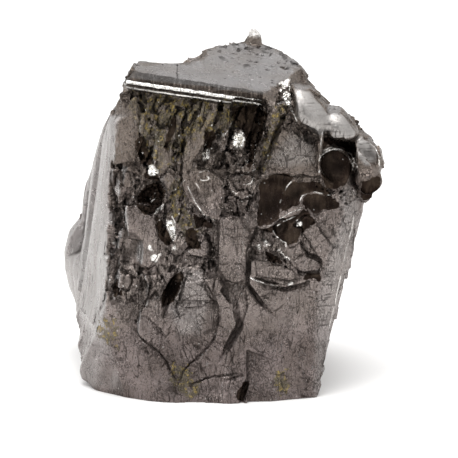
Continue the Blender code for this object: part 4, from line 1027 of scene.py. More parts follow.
# ---- The fields -----------------------------------------------------------------------------------
class Fields(Surface):
    """Measures the fields that the material reads, for every point."""

    def __init__(self, points: Array, normals: Array, edges: Array) -> None:
        """Reads the finished forms.

        Args:
            points: N by 3, in millimetres.
            normals: N by 3.
            edges: M by 2 point numbers.
        """
        broad = relaxed(normals, edges, 8)
        broad /= np.linalg.norm(broad, axis=1, keepdims=True)
        super().__init__(points, broad)
        # How far each point is sunk below its neighbours, which the material paints as shade.
        around = relaxed(points, edges, 10)
        self.sunk = np.einsum("ij,ij->i", around - points, normals)

    def measured(self) -> dict[str, Array]:
        """Returns each field by name: distances in mm, and masks from 0 to 1."""
        line, place = self.lines(LINES.values())
        return {
            "sunk": self.sunk,
            "glass": self.patches(map(Patch, GLASS.values())),
            "stain": self.patches(STAINS.values()),
            "pale": self.patches(PALES.values()),
            "glint": self.patches(map(Patch, GLINTS.values())),
            "rough": self.patches([Patch(rubble.outline, rubble.side) for rubble in RUBBLE.values()]),
            "flake": self.patches(FLAKES.values()),
            "knob": self.patches(map(Patch, KNOBS.values())),
            "line": line,
            "place": place,
            "rim": self.rims(map(Trace, RIMS.values())),
            "ridge": self.below_ridge(),
            "grain": self.grain(),
            "front": self.faced[Side.FRONT],
            "left": self.left,
            "top": self.top,
        }

    def patches(self, patches: Iterable[Patch]) -> Array:
        """Measures from patches.

        Args:
            patches: the patches.

        Returns:
            How far each point is inside the nearest of them, or below 0 outside them.
        """
        total = np.full(len(self.points), -2.0)
        for patch in patches:
            chosen, edge = self.within(patch.side, patch.outline, 2.0)
            faced = self.faced[patch.side][chosen]
            edge = np.clip(edge, -2.0, 2.0) * faced - 2.0 * (1.0 - faced)
            total[chosen] = np.maximum(total[chosen], edge)
        return total

    def lines(self, traces: Iterable[Trace]) -> tuple[Array, Array]:
        """Measures from lines, which taper to their ends.

        Args:
            traces: the lines.

        Returns:
            How far each point is from the edge of the nearest of them, and its place along it.
        """
        total = np.full(len(self.points), 3.0)
        along_it = np.zeros(len(self.points))
        wander = self.wander()
        for trace in traces:
            chosen, distance, place, length = self.traced(trace, wander, 3.0)
            taper = smooth_step(np.minimum(place, length - place), -0.1, 1.2)
            faced = self.faced[trace.side][chosen]
            edge = np.clip(distance - 0.4 * trace.width * taper, -1.0, 3.0)
            edge = edge * faced + 3.0 * (1.0 - faced)
            nearer = edge < total[chosen]
            total[chosen[nearer]] = edge[nearer]
            along_it[chosen[nearer]] = place[nearer]
        return total, along_it

    def rims(self, traces: Iterable[Trace]) -> Array:
        """Measures from thin rims.

        Args:
            traces: the rims' middles.

        Returns:
            How far each point is from the nearest of them.
        """
        total = np.full(len(self.points), 3.0)
        for trace in traces:
            chosen, distance, _, _ = self.traced(trace, np.zeros((len(self.points), 2)), 2.0)
            faced = self.faced[trace.side][chosen]
            edge = np.minimum(distance, 3.0) * faced + 3.0 * (1.0 - faced)
            total[chosen] = np.minimum(total[chosen], edge)
        return total


# ---- The stone's mesh -----------------------------------------------------------------------------
def points_of(mesh: bpy.types.Mesh) -> Array:
    """A mesh's points as an N by 3 array."""
    flat = np.empty(len(mesh.vertices) * 3)
    mesh.vertices.foreach_get("co", flat)
    return flat.reshape(-1, 3)


def normals_of(mesh: bpy.types.Mesh) -> Array:
    """A mesh's point normals as an N by 3 array."""
    flat = np.empty(len(mesh.vertices) * 3)
    mesh.vertex_normals.foreach_get("vector", flat)
    return flat.reshape(-1, 3)


def edges_of(mesh: bpy.types.Mesh) -> Array:
    """A mesh's edges as an M by 2 array of point numbers."""
    flat = np.empty(len(mesh.edges) * 2, dtype=np.int32)
    mesh.edges.foreach_get("vertices", flat)
    return flat.reshape(-1, 2)


def relaxed(values: Array, edges: Array, rounds: int) -> Array:
    """Averages values over neighbouring points.

    Args:
        values: one row for each point.
        edges: M by 2 point numbers.
        rounds: how many times.

    Returns:
        The averaged values.
    """
    count = np.bincount(edges.ravel(), minlength=len(values)).astype(float)[:, None]
    for _ in range(rounds):
        total = np.empty_like(values)
        for axis in range(values.shape[1]):
            total[:, axis] = np.bincount(edges[:, 0], values[edges[:, 1], axis], len(values))
            total[:, axis] += np.bincount(edges[:, 1], values[edges[:, 0], axis], len(values))
        values = 0.5 * values + 0.5 * total / np.maximum(count, 1.0)
    return values


@dataclass
class Stone:
    """The stone's visible mesh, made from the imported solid.

    Attributes:
        source: the solid's object.
        voxel: the remesh's grid, in millimetres.
        triangles: how many triangles the finished mesh has at most.
    """

    source: bpy.types.Object
    voxel: float = 0.135
    triangles: int = 192000

    def build(self) -> bpy.types.Object:
        """Makes the visible stone.

        Returns:
            The finished object, in metres, without its material.
        """
        fine = self.remeshed()
        edges = edges_of(fine)
        points = self.softened(points_of(fine), edges)
        fine.vertices.foreach_set("co", points.ravel())
        fine.update()
        normals = relaxed(normals_of(fine), edges, 3)
        normals /= np.linalg.norm(normals, axis=1, keepdims=True)
        log.info("remeshed: %d points", len(points))
        relief = Relief(points, normals)
        self.broken(relief)
        moved = relief.moved()
        moved[:, 2] = np.maximum(moved[:, 2], 0.0)
        fine.vertices.foreach_set("co", moved.ravel())
        fine.update()
        stone = self.thinned(fine, 1.0 - relief.faced[Side.FRONT])
        self.finish(stone.data)
        return stone

    def remeshed(self) -> bpy.types.Mesh:
        """Copies the solid in millimetres and remeshes it on a fine grid.

        Returns:
            The fine mesh.
        """
        mesh = bpy.data.meshes.new("stone_block")
        solid = self.source.data
        corners = points_of(solid) / MM
        faces = [tuple(polygon.vertices) for polygon in solid.polygons]
        mesh.from_pydata([tuple(p) for p in corners], [], faces)
        block = bpy.data.objects.new("stone_block", mesh)
        bpy.context.scene.collection.objects.link(block)
        weld = block.modifiers.new("weld", "WELD")
        weld.merge_threshold = 0.0005
        remesh = block.modifiers.new("remesh", "REMESH")
        remesh.mode = "VOXEL"
        remesh.voxel_size = self.voxel
        fine = self.evaluated(block)
        bpy.data.objects.remove(block)
        return fine

    @staticmethod
    def softened(points: Array, edges: Array) -> Array:
        """Rounds the solid's facets: a little everywhere, more in glassy scoops, most on the knobs.

        Args:
            points: N by 3.
            edges: M by 2 point numbers.

        Returns:
            The rounded points.
        """
        flat = np.zeros_like(points)
        flat[:, 1] = -1.0
        front = Surface(points, flat)
        near = smooth_step(-points[:, 1], -4.0, -2.0)
        once = relaxed(points, edges, 2)
        smooth = relaxed(once, edges, 10)
        rounded = relaxed(smooth, edges, 24)
        result = once
        for outlines, target in ((GLASS, smooth), (KNOBS, rounded)):
            share = np.zeros(len(points))
            for outline in outlines.values():
                chosen, edge = front.within(Side.FRONT, outline)
                share[chosen] = np.maximum(share[chosen], smooth_step(edge, -0.1, 0.5) * near[chosen])
            result = result + (target - result) * share[:, None]
        return result

    @staticmethod
    def broken(relief: Relief) -> None:
        """Breaks the surface, from the broadest forms to the finest.

        Args:
            relief: the points, which it moves.
        """
        relief.weathering()
        front = relief.faced[Side.FRONT]
        rest = (1.0 - front) * (1.0 - relief.left) * (1.0 - relief.top)
        relief.shells(rest, Shells(5.2, 0.55, Seed.BROAD_SHELLS))
        relief.shells(rest, Shells(2.1, 0.2, Seed.SMALL_SHELLS))
        low = front * smooth_step(-relief.points[:, 2], -27.0, -16.0)
        relief.shells(low, Shells(5.0, 0.12, Seed.FRONT_SHELLS))
        relief.flakes(FLAKES.values())
        for index, rubble in enumerate(RUBBLE.values()):
            relief.chips(rubble, Seed.RUBBLE + index)
        log.info("rubble broken")
        for ripples in RIPPLES:
            relief.ripples(ripples)
        relief.fibres()
        relief.pits()
        relief.ridge()
        relief.rims(map(Trace, RIMS.values()))
        relief.cracks(LINES.values())
        relief.bites(BITES)
        log.info("relief done")

    def thinned(self, fine: bpy.types.Mesh, plain: Array) -> bpy.types.Object:
        """Reduces the mesh, more where the stone is plain than on its front.

        Args:
            fine: the mesh.
            plain: how plain the stone is at each point, 0 to 1.

        Returns:
            The stone's object, in millimetres.
        """
        block = bpy.data.objects.new("stone_fine", fine)
        bpy.context.scene.collection.objects.link(block)
        group = block.vertex_groups.new(name="plain")
        steps = np.round(plain * 4.0).astype(int)
        for step in range(5):
            chosen = np.nonzero(steps == step)[0]
            if len(chosen):
                group.add(chosen.tolist(), max(step / 4.0, 0.05), "REPLACE")
        fine.calc_loop_triangles()
        decimate = block.modifiers.new("decimate", "DECIMATE")
        decimate.ratio = self.triangles / len(fine.loop_triangles)
        decimate.vertex_group = group.name
        decimate.vertex_group_factor = 0.004
        mesh = self.evaluated(block)
        bpy.data.objects.remove(block)
        mesh.name = "stone"
        stone = bpy.data.objects.new("stone", mesh)
        bpy.context.scene.collection.objects.link(stone)
        mesh.calc_loop_triangles()
        log.info("thinned: %d triangles", len(mesh.loop_triangles))
        return stone

    @staticmethod
    def evaluated(obj: bpy.types.Object) -> bpy.types.Mesh:
        """The object's mesh with its modifiers applied."""
        bpy.context.view_layer.update()
        graph = bpy.context.evaluated_depsgraph_get()
        return bpy.data.meshes.new_from_object(obj.evaluated_get(graph))

    @staticmethod
    def finish(mesh: bpy.types.Mesh) -> None:
        """Writes the fields that the material reads, and brings the mesh to metres.

        Args:
            mesh: the stone's mesh, in millimetres.
        """
        points = points_of(mesh)
        points[:, 2] = np.maximum(points[:, 2], 0.0)
        for name, values in Fields(points, normals_of(mesh), edges_of(mesh)).measured().items():
            attribute = mesh.attributes.new(name, "FLOAT", "POINT")
            attribute.data.foreach_set("value", values.astype(np.float32))
        mesh.vertices.foreach_set("co", (points * MM).ravel())
        mesh.shade_smooth()
        mesh.set_sharp_from_angle(angle=math.radians(24.0))
        mesh.update()


# ---- The material ---------------------------------------------------------------------------------
@dataclass(frozen=True)
class Tint:
    """A colour, as linear red, green and blue."""

    red: float
    green: float
    blue: float

    @property
    def rgba(self) -> tuple[float, float, float, float]:
        """The colour with full opacity."""
        return (self.red, self.green, self.blue, 1.0)


@dataclass(frozen=True)
class ShungiteFinish:
    """The colours and gloss of the stone."""

    fresh: Tint = Tint(0.228, 0.189, 0.181)
    warm: Tint = Tint(0.148, 0.120, 0.110)
    umber: Tint = Tint(0.178, 0.148, 0.118)
    deep: Tint = Tint(0.016, 0.012, 0.010)
    glass: Tint = Tint(0.014, 0.009, 0.007)
    silver: Tint = Tint(0.27, 0.26, 0.26)
    chip: Tint = Tint(0.34, 0.295, 0.265)
    resin: Tint = Tint(0.055, 0.040, 0.029)
    # The tip of the peak, coloured near white.
    tip_white: Tint = Tint(0.56, 0.54, 0.52)
    # Painted sheen on the left cleavage and the lumps where they catch the light, and the paler grey of the
    # pale flats.
    pale_grey_and_sheen: Tint = Tint(0.50, 0.49, 0.482)
    olive: Tint = Tint(0.105, 0.088, 0.040)
    gold: Tint = Tint(0.34, 0.25, 0.05)
    # Painted highlight: the colour laid on the glints, the rim and ledge lines and the sparkling points.
    bright: Tint = Tint(0.95, 0.93, 0.89)
    edge: Tint = Tint(0.9, 0.89, 0.88)
    glass_edge: Tint = Tint(0.10, 0.08, 0.07)
    fresh_roughness: float = 0.29
    knob_roughness: float = 0.36
    glass_roughness: float = 0.42
    stain_roughness: float = 0.5
    painted_highlight_roughness: float = 0.2


class Nodes:
    """Adds nodes to a tree and feeds them."""

    def __init__(self, tree: bpy.types.NodeTree) -> None:
        """Keeps the tree that nodes are added to."""
        self.tree = tree

    def feed(self, value: Any, target: bpy.types.NodeSocket) -> None:
        """Links an output socket to an input socket, or sets the input to a plain value."""
        if isinstance(value, bpy.types.NodeSocket):
            self.tree.links.new(value, target)
        else:
            target.default_value = value

    def add(self, kind: str, inputs: Mapping[Any, Any] | None = None, **settings: Any) -> Any:
        """Adds a node.

        Args:
            kind: the node's type name, without its start.
            inputs: what feeds its inputs, by their number or name.
            **settings: its own properties.

        Returns:
            The node's outputs.
        """
        node = self.tree.nodes.new("ShaderNode" + kind)
        for name, value in settings.items():
            setattr(node, name, value)
        for key, value in (inputs or {}).items():
            self.feed(value, node.inputs[key])
        return node.outputs

    def math(self, operation: str, first: Any, second: Any = 0.0) -> Any:
        """A Math node's result."""
        return self.add("Math", {0: first, 1: second}, operation=operation)[0]

    def highest(self, *values: Any) -> Any:
        """The largest of some numbers."""
        return reduce(partial(self.math, "MAXIMUM"), values)

    def product(self, *values: Any) -> Any:
        """The product of some numbers."""
        return reduce(partial(self.math, "MULTIPLY"), values)

    def total(self, *values: Any) -> Any:
        """The sum of some numbers."""
        return reduce(partial(self.math, "ADD"), values)

    def less(self, value: Any, part: Any) -> Any:
        """A number less another."""
        return self.math("SUBTRACT", value, part)

    def without(self, value: Any, part: Any) -> Any:
        """A number, taken away where the part is 1."""
        return self.product(value, self.less(1.0, part))

    def vector(self, operation: str, first: Any, second: Any = (0.0, 0.0, 0.0)) -> Any:
        """A Vector Math node's vector result."""
        return self.add("VectorMath", {0: first, 1: second}, operation=operation)[0]

    def scaled(self, vector: Any, scale: Any) -> Any:
        """A vector times a number."""
        return self.add("VectorMath", {0: vector, "Scale": scale}, operation="SCALE")[0]

    def parts(self, vector: Any) -> tuple[Any, Any, Any]:
        """A vector's three numbers."""
        return tuple(self.add("SeparateXYZ", {0: vector}))

    def mixed(self, part: Any, first: Any, second: Any) -> Any:
        """A colour mixed from two."""
        return self.add("Mix", {0: part, 6: first, 7: second}, data_type="RGBA")[2]

    def blended(self, part: Any, first: Any, second: Any) -> Any:
        """A number mixed from two."""
        return self.add("Mix", {0: part, 2: first, 3: second}, data_type="FLOAT")[0]

    def ranged(self, value: Any, low: float, high: float, to_low: float = 0.0, to_high: float = 1.0) -> Any:
        """A number brought smoothly from one range to another."""
        limits = {0: value, 1: low, 2: high, 3: to_low, 4: to_high}
        return self.add("MapRange", limits, interpolation_type="SMOOTHSTEP")[0]

    def fading(self, value: Any, low: float, high: float) -> Any:
        """A mask that falls smoothly from 1 at low to 0 at high."""
        return self.ranged(value, low, high, 1.0, 0.0)

    def noise(self, place: Any, scale: float = 1.0, detail: float = 2.0, distortion: float = 0.0) -> Any:
        """A Noise Texture's value, around 0.5."""
        shape = {"Vector": place, "Scale": scale, "Detail": detail, "Distortion": distortion}
        return self.add("TexNoise", shape)[0]

    def stray(self, place: Any, scale: float, middle: float = 0.5) -> Any:
        """Noise that strays both ways from 0."""
        return self.less(self.noise(place, scale, 3.0), middle)

    def pushed(self, place: Any, scale: float, detail: float, reach: float) -> Any:
        """A position pushed about by noise, up to the reach in mm."""
        push = self.add("TexNoise", {"Vector": place, "Scale": scale, "Detail": detail})["Color"]
        return self.vector("ADD", place, self.vector("MULTIPLY", push, (reach, reach, reach)))

    def mapped(self, place: Any, shift: float, turn: Triple, scale: Triple) -> Any:
        """A position moved, turned (in degrees) and stretched."""
        turned = tuple(math.radians(angle) for angle in turn)
        moves = {"Vector": place, "Location": (shift, shift, shift), "Rotation": turned, "Scale": scale}
        return self.add("Mapping", moves)[0]

    def attribute(self, name: str) -> Any:
        """A field kept on the mesh."""
        return self.add("Attribute", attribute_name=name)["Fac"]

    def effect(self, tree: bpy.types.NodeTree, *values: Any) -> Any:
        """A node group's outputs, with its inputs fed in order."""
        return self.add("Group", dict(enumerate(values)), node_tree=tree)


class Effect(Nodes):
    """A shader node group that is being built, with named inputs and outputs."""

    def __init__(self, name: str, inputs: Sequence[str], outputs: Sequence[str]) -> None:
        """Starts the group. A place or a normal is a vector, and the rest are numbers.

        Args:
            name: the group's name.
            inputs: its inputs' names.
            outputs: its outputs' names.
        """
        super().__init__(bpy.data.node_groups.new(name, "ShaderNodeTree"))
        for way, labels in (("INPUT", inputs), ("OUTPUT", outputs)):
            for label in labels:
                kind = "NodeSocketVector" if label in ("Position", "Normal") else "NodeSocketFloat"
                self.tree.interface.new_socket(label, in_out=way, socket_type=kind)
        self.source = self.tree.nodes.new("NodeGroupInput").outputs

    def giving(self, *values: Any) -> bpy.types.NodeTree:
        """Finishes the group.

        Args:
            *values: what its outputs give, in order.

        Returns:
            The group.
        """
        target = self.tree.nodes.new("NodeGroupOutput").inputs
        for value, socket in zip(values, target):
            self.feed(value, socket)
        return self.tree


def ragged_edge() -> bpy.types.NodeTree:
    """The group that turns a distance field into a mask with a crisp, ragged edge.

    Returns:
        The group.
    """
    effect = Effect("ragged_edge", ("Field", "Spread", "Position"), ("Mask",))
    field, spread, place = effect.source[:3]
    edge = effect.total(field, effect.product(effect.stray(place, 1.3), spread))
    return effect.giving(effect.ranged(edge, -0.05, 0.05))


def soft_edge() -> bpy.types.NodeTree:
    """The group that turns a distance field into a broken mask that fades toward its edge."""
    effect = Effect("soft_edge", ("Field", "Position"), ("Mask",))
    field, place = effect.source[:2]
    edge = effect.total(field, 0.1, effect.product(effect.stray(place, 1.8), 0.7))
    return effect.giving(effect.ranged(edge, -0.05, 0.22))


def hairlines() -> bpy.types.NodeTree:
    """The group for long, thin, nearly straight cracks, as a mask.

    Returns:
        The group.
    """
    effect = Effect("hairline_cracks", ("Position",), ("Mask",))
    place = effect.source[0]
    bent = effect.pushed(place, 0.14, 1.0, 3.0)
    mask: Any = 0.0
    for turn, shift, fineness, half in (
        (24.0, 0.0, 0.9, 0.012),
        (-36.0, 14.0, 0.75, 0.010),
        (74.0, 29.0, 0.6, 0.008),
        (-6.0, 43.0, 1.3, 0.016),
    ):
        across = effect.mapped(bent, shift, (0.0, turn, 0.0), (fineness, fineness * 0.5, fineness * 0.08))
        near = effect.math("ABSOLUTE", effect.less(effect.noise(across, 1.0, 0.0), 0.5))
        spread = effect.mapped(place, shift, (0.0, turn, 0.0), (0.55, 0.4, 0.2))
        worn = effect.ranged(effect.noise(spread), 0.5, 0.6)
        mask = effect.highest(mask, effect.product(effect.fading(near, half * 0.2, half), worn))
    return effect.giving(mask)


def hackles() -> bpy.types.NodeTree:
    """The group for fine short strokes in two directions, as a dark mask and a light one.

    Returns:
        The group.
    """
    effect = Effect("fine_hackles", ("Position",), ("Dark", "Light"))
    place = effect.source[0]
    first = effect.noise(effect.mapped(place, 3.0, (10.0, 14.0, 0.0), (5.0, 5.0, 0.8)), 1.0, 2.0, 0.6)
    second = effect.noise(effect.mapped(place, 17.0, (0.0, -48.0, 10.0), (4.6, 4.6, 0.8)), 1.0, 2.0, 0.6)
    fields = effect.ranged(effect.noise(place, 0.22), 0.42, 0.58)
    strokes = effect.blended(fields, first, second)
    return effect.giving(effect.ranged(strokes, 0.58, 0.66), effect.ranged(strokes, 0.36, 0.28))


def specks() -> bpy.types.NodeTree:
    """The group for the surface's fine grain, its dark grit and its sparse sparkling points.

    Returns:
        The group.
    """
    effect = Effect("grain_specks", ("Position",), ("Grain", "Grit", "Sparkle"))
    place = effect.source[0]
    grain = effect.ranged(effect.noise(place, 4.2, 3.0), 0.32, 0.68)
    cluster = effect.ranged(effect.noise(place, 0.42, 3.0), 0.38, 0.62, 0.58, 0.72)
    strokes = effect.noise(effect.mapped(place, 5.0, (0.0, 20.0, 0.0), (7.0, 7.0, 4.2)))
    grit = effect.ranged(effect.total(strokes, cluster), 1.18, 1.28)
    cell = effect.add("TexVoronoi", {"Vector": place, "Scale": 2.6}, feature="F1")
    rare = effect.ranged(effect.parts(cell["Color"])[0], 0.955, 0.965)
    return effect.giving(grain, grit, effect.product(rare, effect.fading(cell["Distance"], 0.16, 0.3)))


def dust() -> bpy.types.NodeTree:
    """The group for the finest specks, as a dark mask and a light one."""
    effect = Effect("fine_dust", ("Position",), ("Dark", "Light"))
    fine = effect.noise(effect.source[0], 6.5)
    return effect.giving(effect.ranged(fine, 0.56, 0.68), effect.ranged(fine, 0.42, 0.30))


def knob_striations() -> bpy.types.NodeTree:
    """The group for fine curved lines along the rounded lumps, as a mask.

    Returns:
        The group.
    """
    effect = Effect("knob_striations", ("Position",), ("Mask",))
    place = effect.source[0]
    lines = effect.noise(effect.mapped(place, 0.0, (0.0, 44.0, 0.0), (0.3, 0.6, 4.2)), 1.0, 2.0, 0.5)
    fields = effect.ranged(effect.noise(place, 0.45), 0.42, 0.58, 0.25, 1.0)
    return effect.giving(effect.product(effect.ranged(lines, 0.54, 0.64), fields))


def small_facets() -> bpy.types.NodeTree:
    """The group that tilts a normal by small flat facets, and paints each facet a shade by its tilt.

    Returns:
        The group.
    """
    effect = Effect("small_facets", ("Position", "Normal", "Amount"), ("Normal", "Shade"))
    place, normal, amount = effect.source[:3]
    stretched = effect.mapped(effect.pushed(place, 0.9, 2.0, 1.2), 0.0, (0.0, 22.0, 0.0), (1.05, 1.05, 0.55))
    large, small = (
        effect.vector(
            "SUBTRACT",
            effect.add("TexVoronoi", {"Vector": stretched, "Scale": scale}, feature="F1")["Color"],
            (0.5, 0.5, 0.5),
        )
        for scale in (1.0, 2.7)
    )
    both = effect.vector("ADD", large, effect.vector("MULTIPLY", small, (0.6, 0.6, 0.6)))
    tilted = effect.vector("ADD", normal, effect.scaled(both, amount))
    # Painted shade: how far each facet's tilt leans to the front or the back.
    shade = effect.ranged(effect.parts(both)[1], -0.5, 0.5)
    return effect.giving(effect.vector("NORMALIZE", tilted), shade)


def cleavage_fibres() -> bpy.types.NodeTree:
    """The group for the strips of the left cleavage, as a shade and a mask of thin slits.

    Returns:
        The group.
    """
    effect = Effect("cleavage_fibres", ("Across", "Position"), ("Shade", "Slits"))
    across, place = effect.source[:2]
    upward = effect.product(effect.parts(place)[2], 0.06)
    strip = effect.add("CombineXYZ", {0: across, 1: upward})[0]
    slits = effect.noise(effect.mapped(strip, 7.0, (0.0, 0.0, 0.0), (2.0, 3.4, 1.0)), 1.0, 1.0)
    shade = effect.ranged(effect.noise(strip, 1.7, 4.0), 0.34, 0.66)
    return effect.giving(shade, effect.ranged(slits, 0.70, 0.73))


def crack_barbs() -> bpy.types.NodeTree:
    """The group for short strokes that stand across a crack, as a mask.

    Returns:
        The group.
    """
    effect = Effect("crack_barbs", ("Distance", "Place"), ("Mask",))
    distance, place = effect.source[:2]
    spot = effect.add("CombineXYZ", {0: effect.product(place, 3.2), 1: effect.product(distance, 0.7)})[0]
    strokes = effect.ranged(effect.noise(spot, 1.0, 1.0), 0.57, 0.63)
    return effect.giving(effect.product(strokes, effect.fading(distance, 0.7, 2.0)))


@dataclass(frozen=True)
class Marks:
    """The masks of the stone's material, as sockets."""

    glass: Any
    stain: Any
    pale: Any
    glint: Any
    flake: Any
    rough: Any
    knob: Any
    line: Any
    rim: Any
    left: Any
    top: Any
    sunk: Any
    ledge_painted_highlight: Any
    ledge_dark: Any
    pits: Any


class StoneMaterial(Nodes):
    """The stone's material, made from its finish and the fields kept on the mesh."""

    def __init__(self, finish: ShungiteFinish) -> None:
        """Starts the material, and measures what several of its parts share.

        Args:
            finish: its colours and gloss.
        """
        self.material = bpy.data.materials.new("shungite")
        self.material.use_nodes = True
        super().__init__(self.material.node_tree)
        self.finish = finish
        self.place = self.scaled(self.add("TexCoord")["Object"], 1.0 / MM)
        self.across, self.behind, self.upward = self.parts(self.place)
        self.front = self.attribute("front")
        self.marks = marks = self.masks()
        self.hackles = self.effect(hackles(), self.place)
        self.specks = self.effect(specks(), self.place)
        self.dust = self.effect(dust(), self.place)
        self.fibres = self.effect(cleavage_fibres(), self.attribute("grain"), self.place)
        self.smooth = self.highest(marks.glass, self.product(marks.knob, 0.8))
        self.calm = self.highest(self.smooth, self.product(marks.left, 0.8), self.product(marks.top, 0.7))
        self.hairlines = self.without(self.effect(hairlines(), self.place)[0], self.calm)
        whole = self.highest(self.smooth, self.product(marks.flake, 0.85))
        self.broken = self.without(marks.rough, whole)
        self.hidden = self.without(self.less(1.0, self.front), self.highest(marks.left, marks.top))
        plates = self.mapped(self.place, 4.0, (20.0, 10.0, 30.0), (0.22, 0.3, 0.16))
        self.plate = self.noise(plates, 1.0, 4.0, 1.5)

    def masks(self) -> Marks:
        """Turns the fields kept on the mesh into masks.

        Returns:
            The masks.
        """
        ragged = ragged_edge()
        # The painted highlights show only where the stone faces the front.
        ahead = self.ranged(self.front, 0.3, 0.75)
        left, top = self.attribute("left"), self.attribute("top")

        def edged(name: str, spread: float) -> Any:
            """A crisp mask from a field, whose edge strays by the spread in mm."""
            return self.effect(ragged, self.attribute(name), spread, self.place)[0]

        ledge_painted_highlight, ledge_dark = self.ledges()
        stained = self.ranged(self.noise(self.place, 1.0, 3.0), 0.39, 0.51)
        rim_highlight_shows = self.ranged(self.noise(self.place, 0.6), 0.42, 0.52)
        return Marks(
            glass=edged("glass", 0.8),
            stain=self.product(edged("stain", 2.6), stained),
            pale=self.ranged(self.attribute("pale"), -0.6, 0.6),
            glint=self.product(self.effect(soft_edge(), self.attribute("glint"), self.place)[0], ahead),
            flake=edged("flake", 0.4),
            rough=edged("rough", 1.6),
            knob=self.ranged(self.attribute("knob"), -0.2, 0.3),
            line=self.cracks(left),
            # Painted highlight: a thin light line along each rim.
            rim=self.product(self.fading(self.attribute("rim"), 0.04, 0.10), rim_highlight_shows),
            left=left,
            top=top,
            # Painted shade in the hollows, by how far each point is sunk.
            sunk=self.ranged(self.attribute("sunk"), 0.02, 0.14),
            ledge_painted_highlight=self.product(ledge_painted_highlight, ahead),
            ledge_dark=ledge_dark,
            pits=self.pits(top),
        )

    def cracks(self, left: Any) -> Any:
        """The cracks with their ragged halo and the strokes across them.

        Args:
            left: the mask of the left cleavage, where cracks are plain.

        Returns:
            The mask.
        """
        line = self.attribute("line")
        barbs = self.effect(crack_barbs(), line, self.attribute("place"))[0]
        jagged = self.total(line, self.product(self.stray(self.place, 2.2, 0.46), 1.5))
        halo = self.product(self.fading(jagged, 0.02, 0.12), self.fading(line, 0.3, 0.6), 0.75)
        worn = self.ranged(self.noise(self.place, 1.1, 3.0), 0.40, 0.56, 0.35, 1.0)
        crack = self.product(self.fading(line, 0.0, 0.06), worn)
        crack = self.highest(crack, self.without(halo, left))
        return self.highest(crack, self.without(self.product(barbs, 0.7), left))

    def ledges(self) -> tuple[Any, Any]:
        """The two ledges along the ridge.

        Returns:
            The mask of the painted highlight along their edges, and the mask of the dark band that they stand
            in.
        """
        below = self.total(self.attribute("ridge"), self.product(self.stray(self.place, 0.9), 0.22))
        ticks = self.noise(self.mapped(self.place, 0.0, (0.0, 7.0, 0.0), (4.6, 0.5, 0.5)))
        faint = self.ranged(self.across, -9.0, -5.0, 0.35, 1.0)
        first = self.product(self.ranged(below, 0.24, 0.30), self.fading(below, 0.62, 0.68))
        first = self.product(first, self.ranged(ticks, 0.34, 0.46, 0.4, 1.0))
        second = self.product(self.ranged(below, 0.98, 1.02), self.fading(below, 1.14, 1.19), faint)
        band = self.product(self.ranged(below, -0.62, -0.55), self.fading(below, 1.4, 1.5))
        # The painted highlight: a light line along each ledge's edge.
        light = self.highest(first, self.product(second, 0.95))
        return light, self.product(band, self.ranged(ticks, 0.36, 0.5, 0.55, 1.0))

    def pits(self, top: Any) -> Any:
        """The pits of the top, denser toward its broken rim, and the fissure that crosses it.

        Args:
            top: the mask of the top.

        Returns:
            The mask.
        """
        toward_rim = self.total(self.product(self.behind, 0.06), self.product(self.across, 0.03))
        spots = self.noise(self.mapped(self.place, 9.0, (0.0, 0.0, 30.0), (0.9, 0.45, 0.9)), 1.0, 4.0)
        spots = self.ranged(self.total(spots, self.product(toward_rim, 0.28)), 0.6, 0.66)
        patchy = self.ranged(self.noise(self.place, 0.6, 3.0), 0.42, 0.54, 0.25, 0.8)
        stray = self.product(self.stray(self.place, 0.5), 0.9)
        away = self.math("ABSOLUTE", self.total(self.across, 5.2, stray))
        fissure = self.product(self.fading(away, 0.03, 0.10), self.fading(self.behind, 0.0, 2.0), 0.9)
        return self.highest(self.product(top, spots, patchy), self.product(top, fissure))

    def painted(self, color: Any, *coats: tuple[Any, Any]) -> Any:
        """Lays coats over a colour.

        Args:
            color: what they lie on.
            *coats: each coat's mask and its colour, from the lowest to the highest.

        Returns:
            The colour.
        """
        for mask, coat in coats:
            color = self.mixed(mask, color, coat.rgba if isinstance(coat, Tint) else coat)
        return color

    def break_color(self, shade: Any) -> Any:
        """The colour of the broken stone, its hidden sides and its cleavages, with painted shade and sheen.

        Args:
            shade: the small facets' painted shade, by their tilt.

        Returns:
            The colour.
        """
        finish, marks = self.finish, self.marks
        cloud = self.ranged(self.noise(self.place, 0.3, 4.0), 0.36, 0.64)
        upper = self.ranged(self.total(self.upward, self.product(cloud, 4.0)), 22.0, 31.0)
        belt = self.product(self.ranged(self.upward, 6.0, 12.0), self.ranged(self.upward, 26.0, 19.0))
        lumps = self.product(marks.knob, 0.62)
        # Painted sheen: the left cleavage and the lumps are lightened where they catch the light; the pale
        # flats take a little of the paler grey.
        pale_grey_and_sheen = self.highest(self.product(marks.left, 0.9), lumps, self.product(marks.pale, 0.3))
        return self.painted(
            self.mixed(cloud, finish.warm.rgba, finish.fresh.rgba),
            (self.product(upper, 0.75), finish.umber),
            (self.product(belt, self.front, 0.5), finish.chip),
            (self.product(self.hidden, self.ranged(self.plate, 0.42, 0.36), 0.55), finish.resin),
            (self.product(self.hidden, self.ranged(self.plate, 0.56, 0.62), 0.6), finish.silver),
            # Painted shade and highlight: each chip darker or lighter by its facet's tilt.
            (self.product(self.ranged(shade, 0.4, 0.2), self.broken, 0.4), finish.deep),
            (self.product(self.ranged(shade, 0.55, 0.75), self.broken, 0.75), finish.chip),
            (self.product(marks.top, self.blended(cloud, 0.7, 1.0)), finish.silver),
            (pale_grey_and_sheen, finish.pale_grey_and_sheen),
        )

    def stain_color(self) -> Any:
        """The colour of the stains: olive, with golden spots."""
        golden = self.ranged(self.noise(self.place, 2.0, 4.0), 0.55, 0.59)
        return self.mixed(golden, self.finish.olive.rgba, self.finish.gold.rgba)

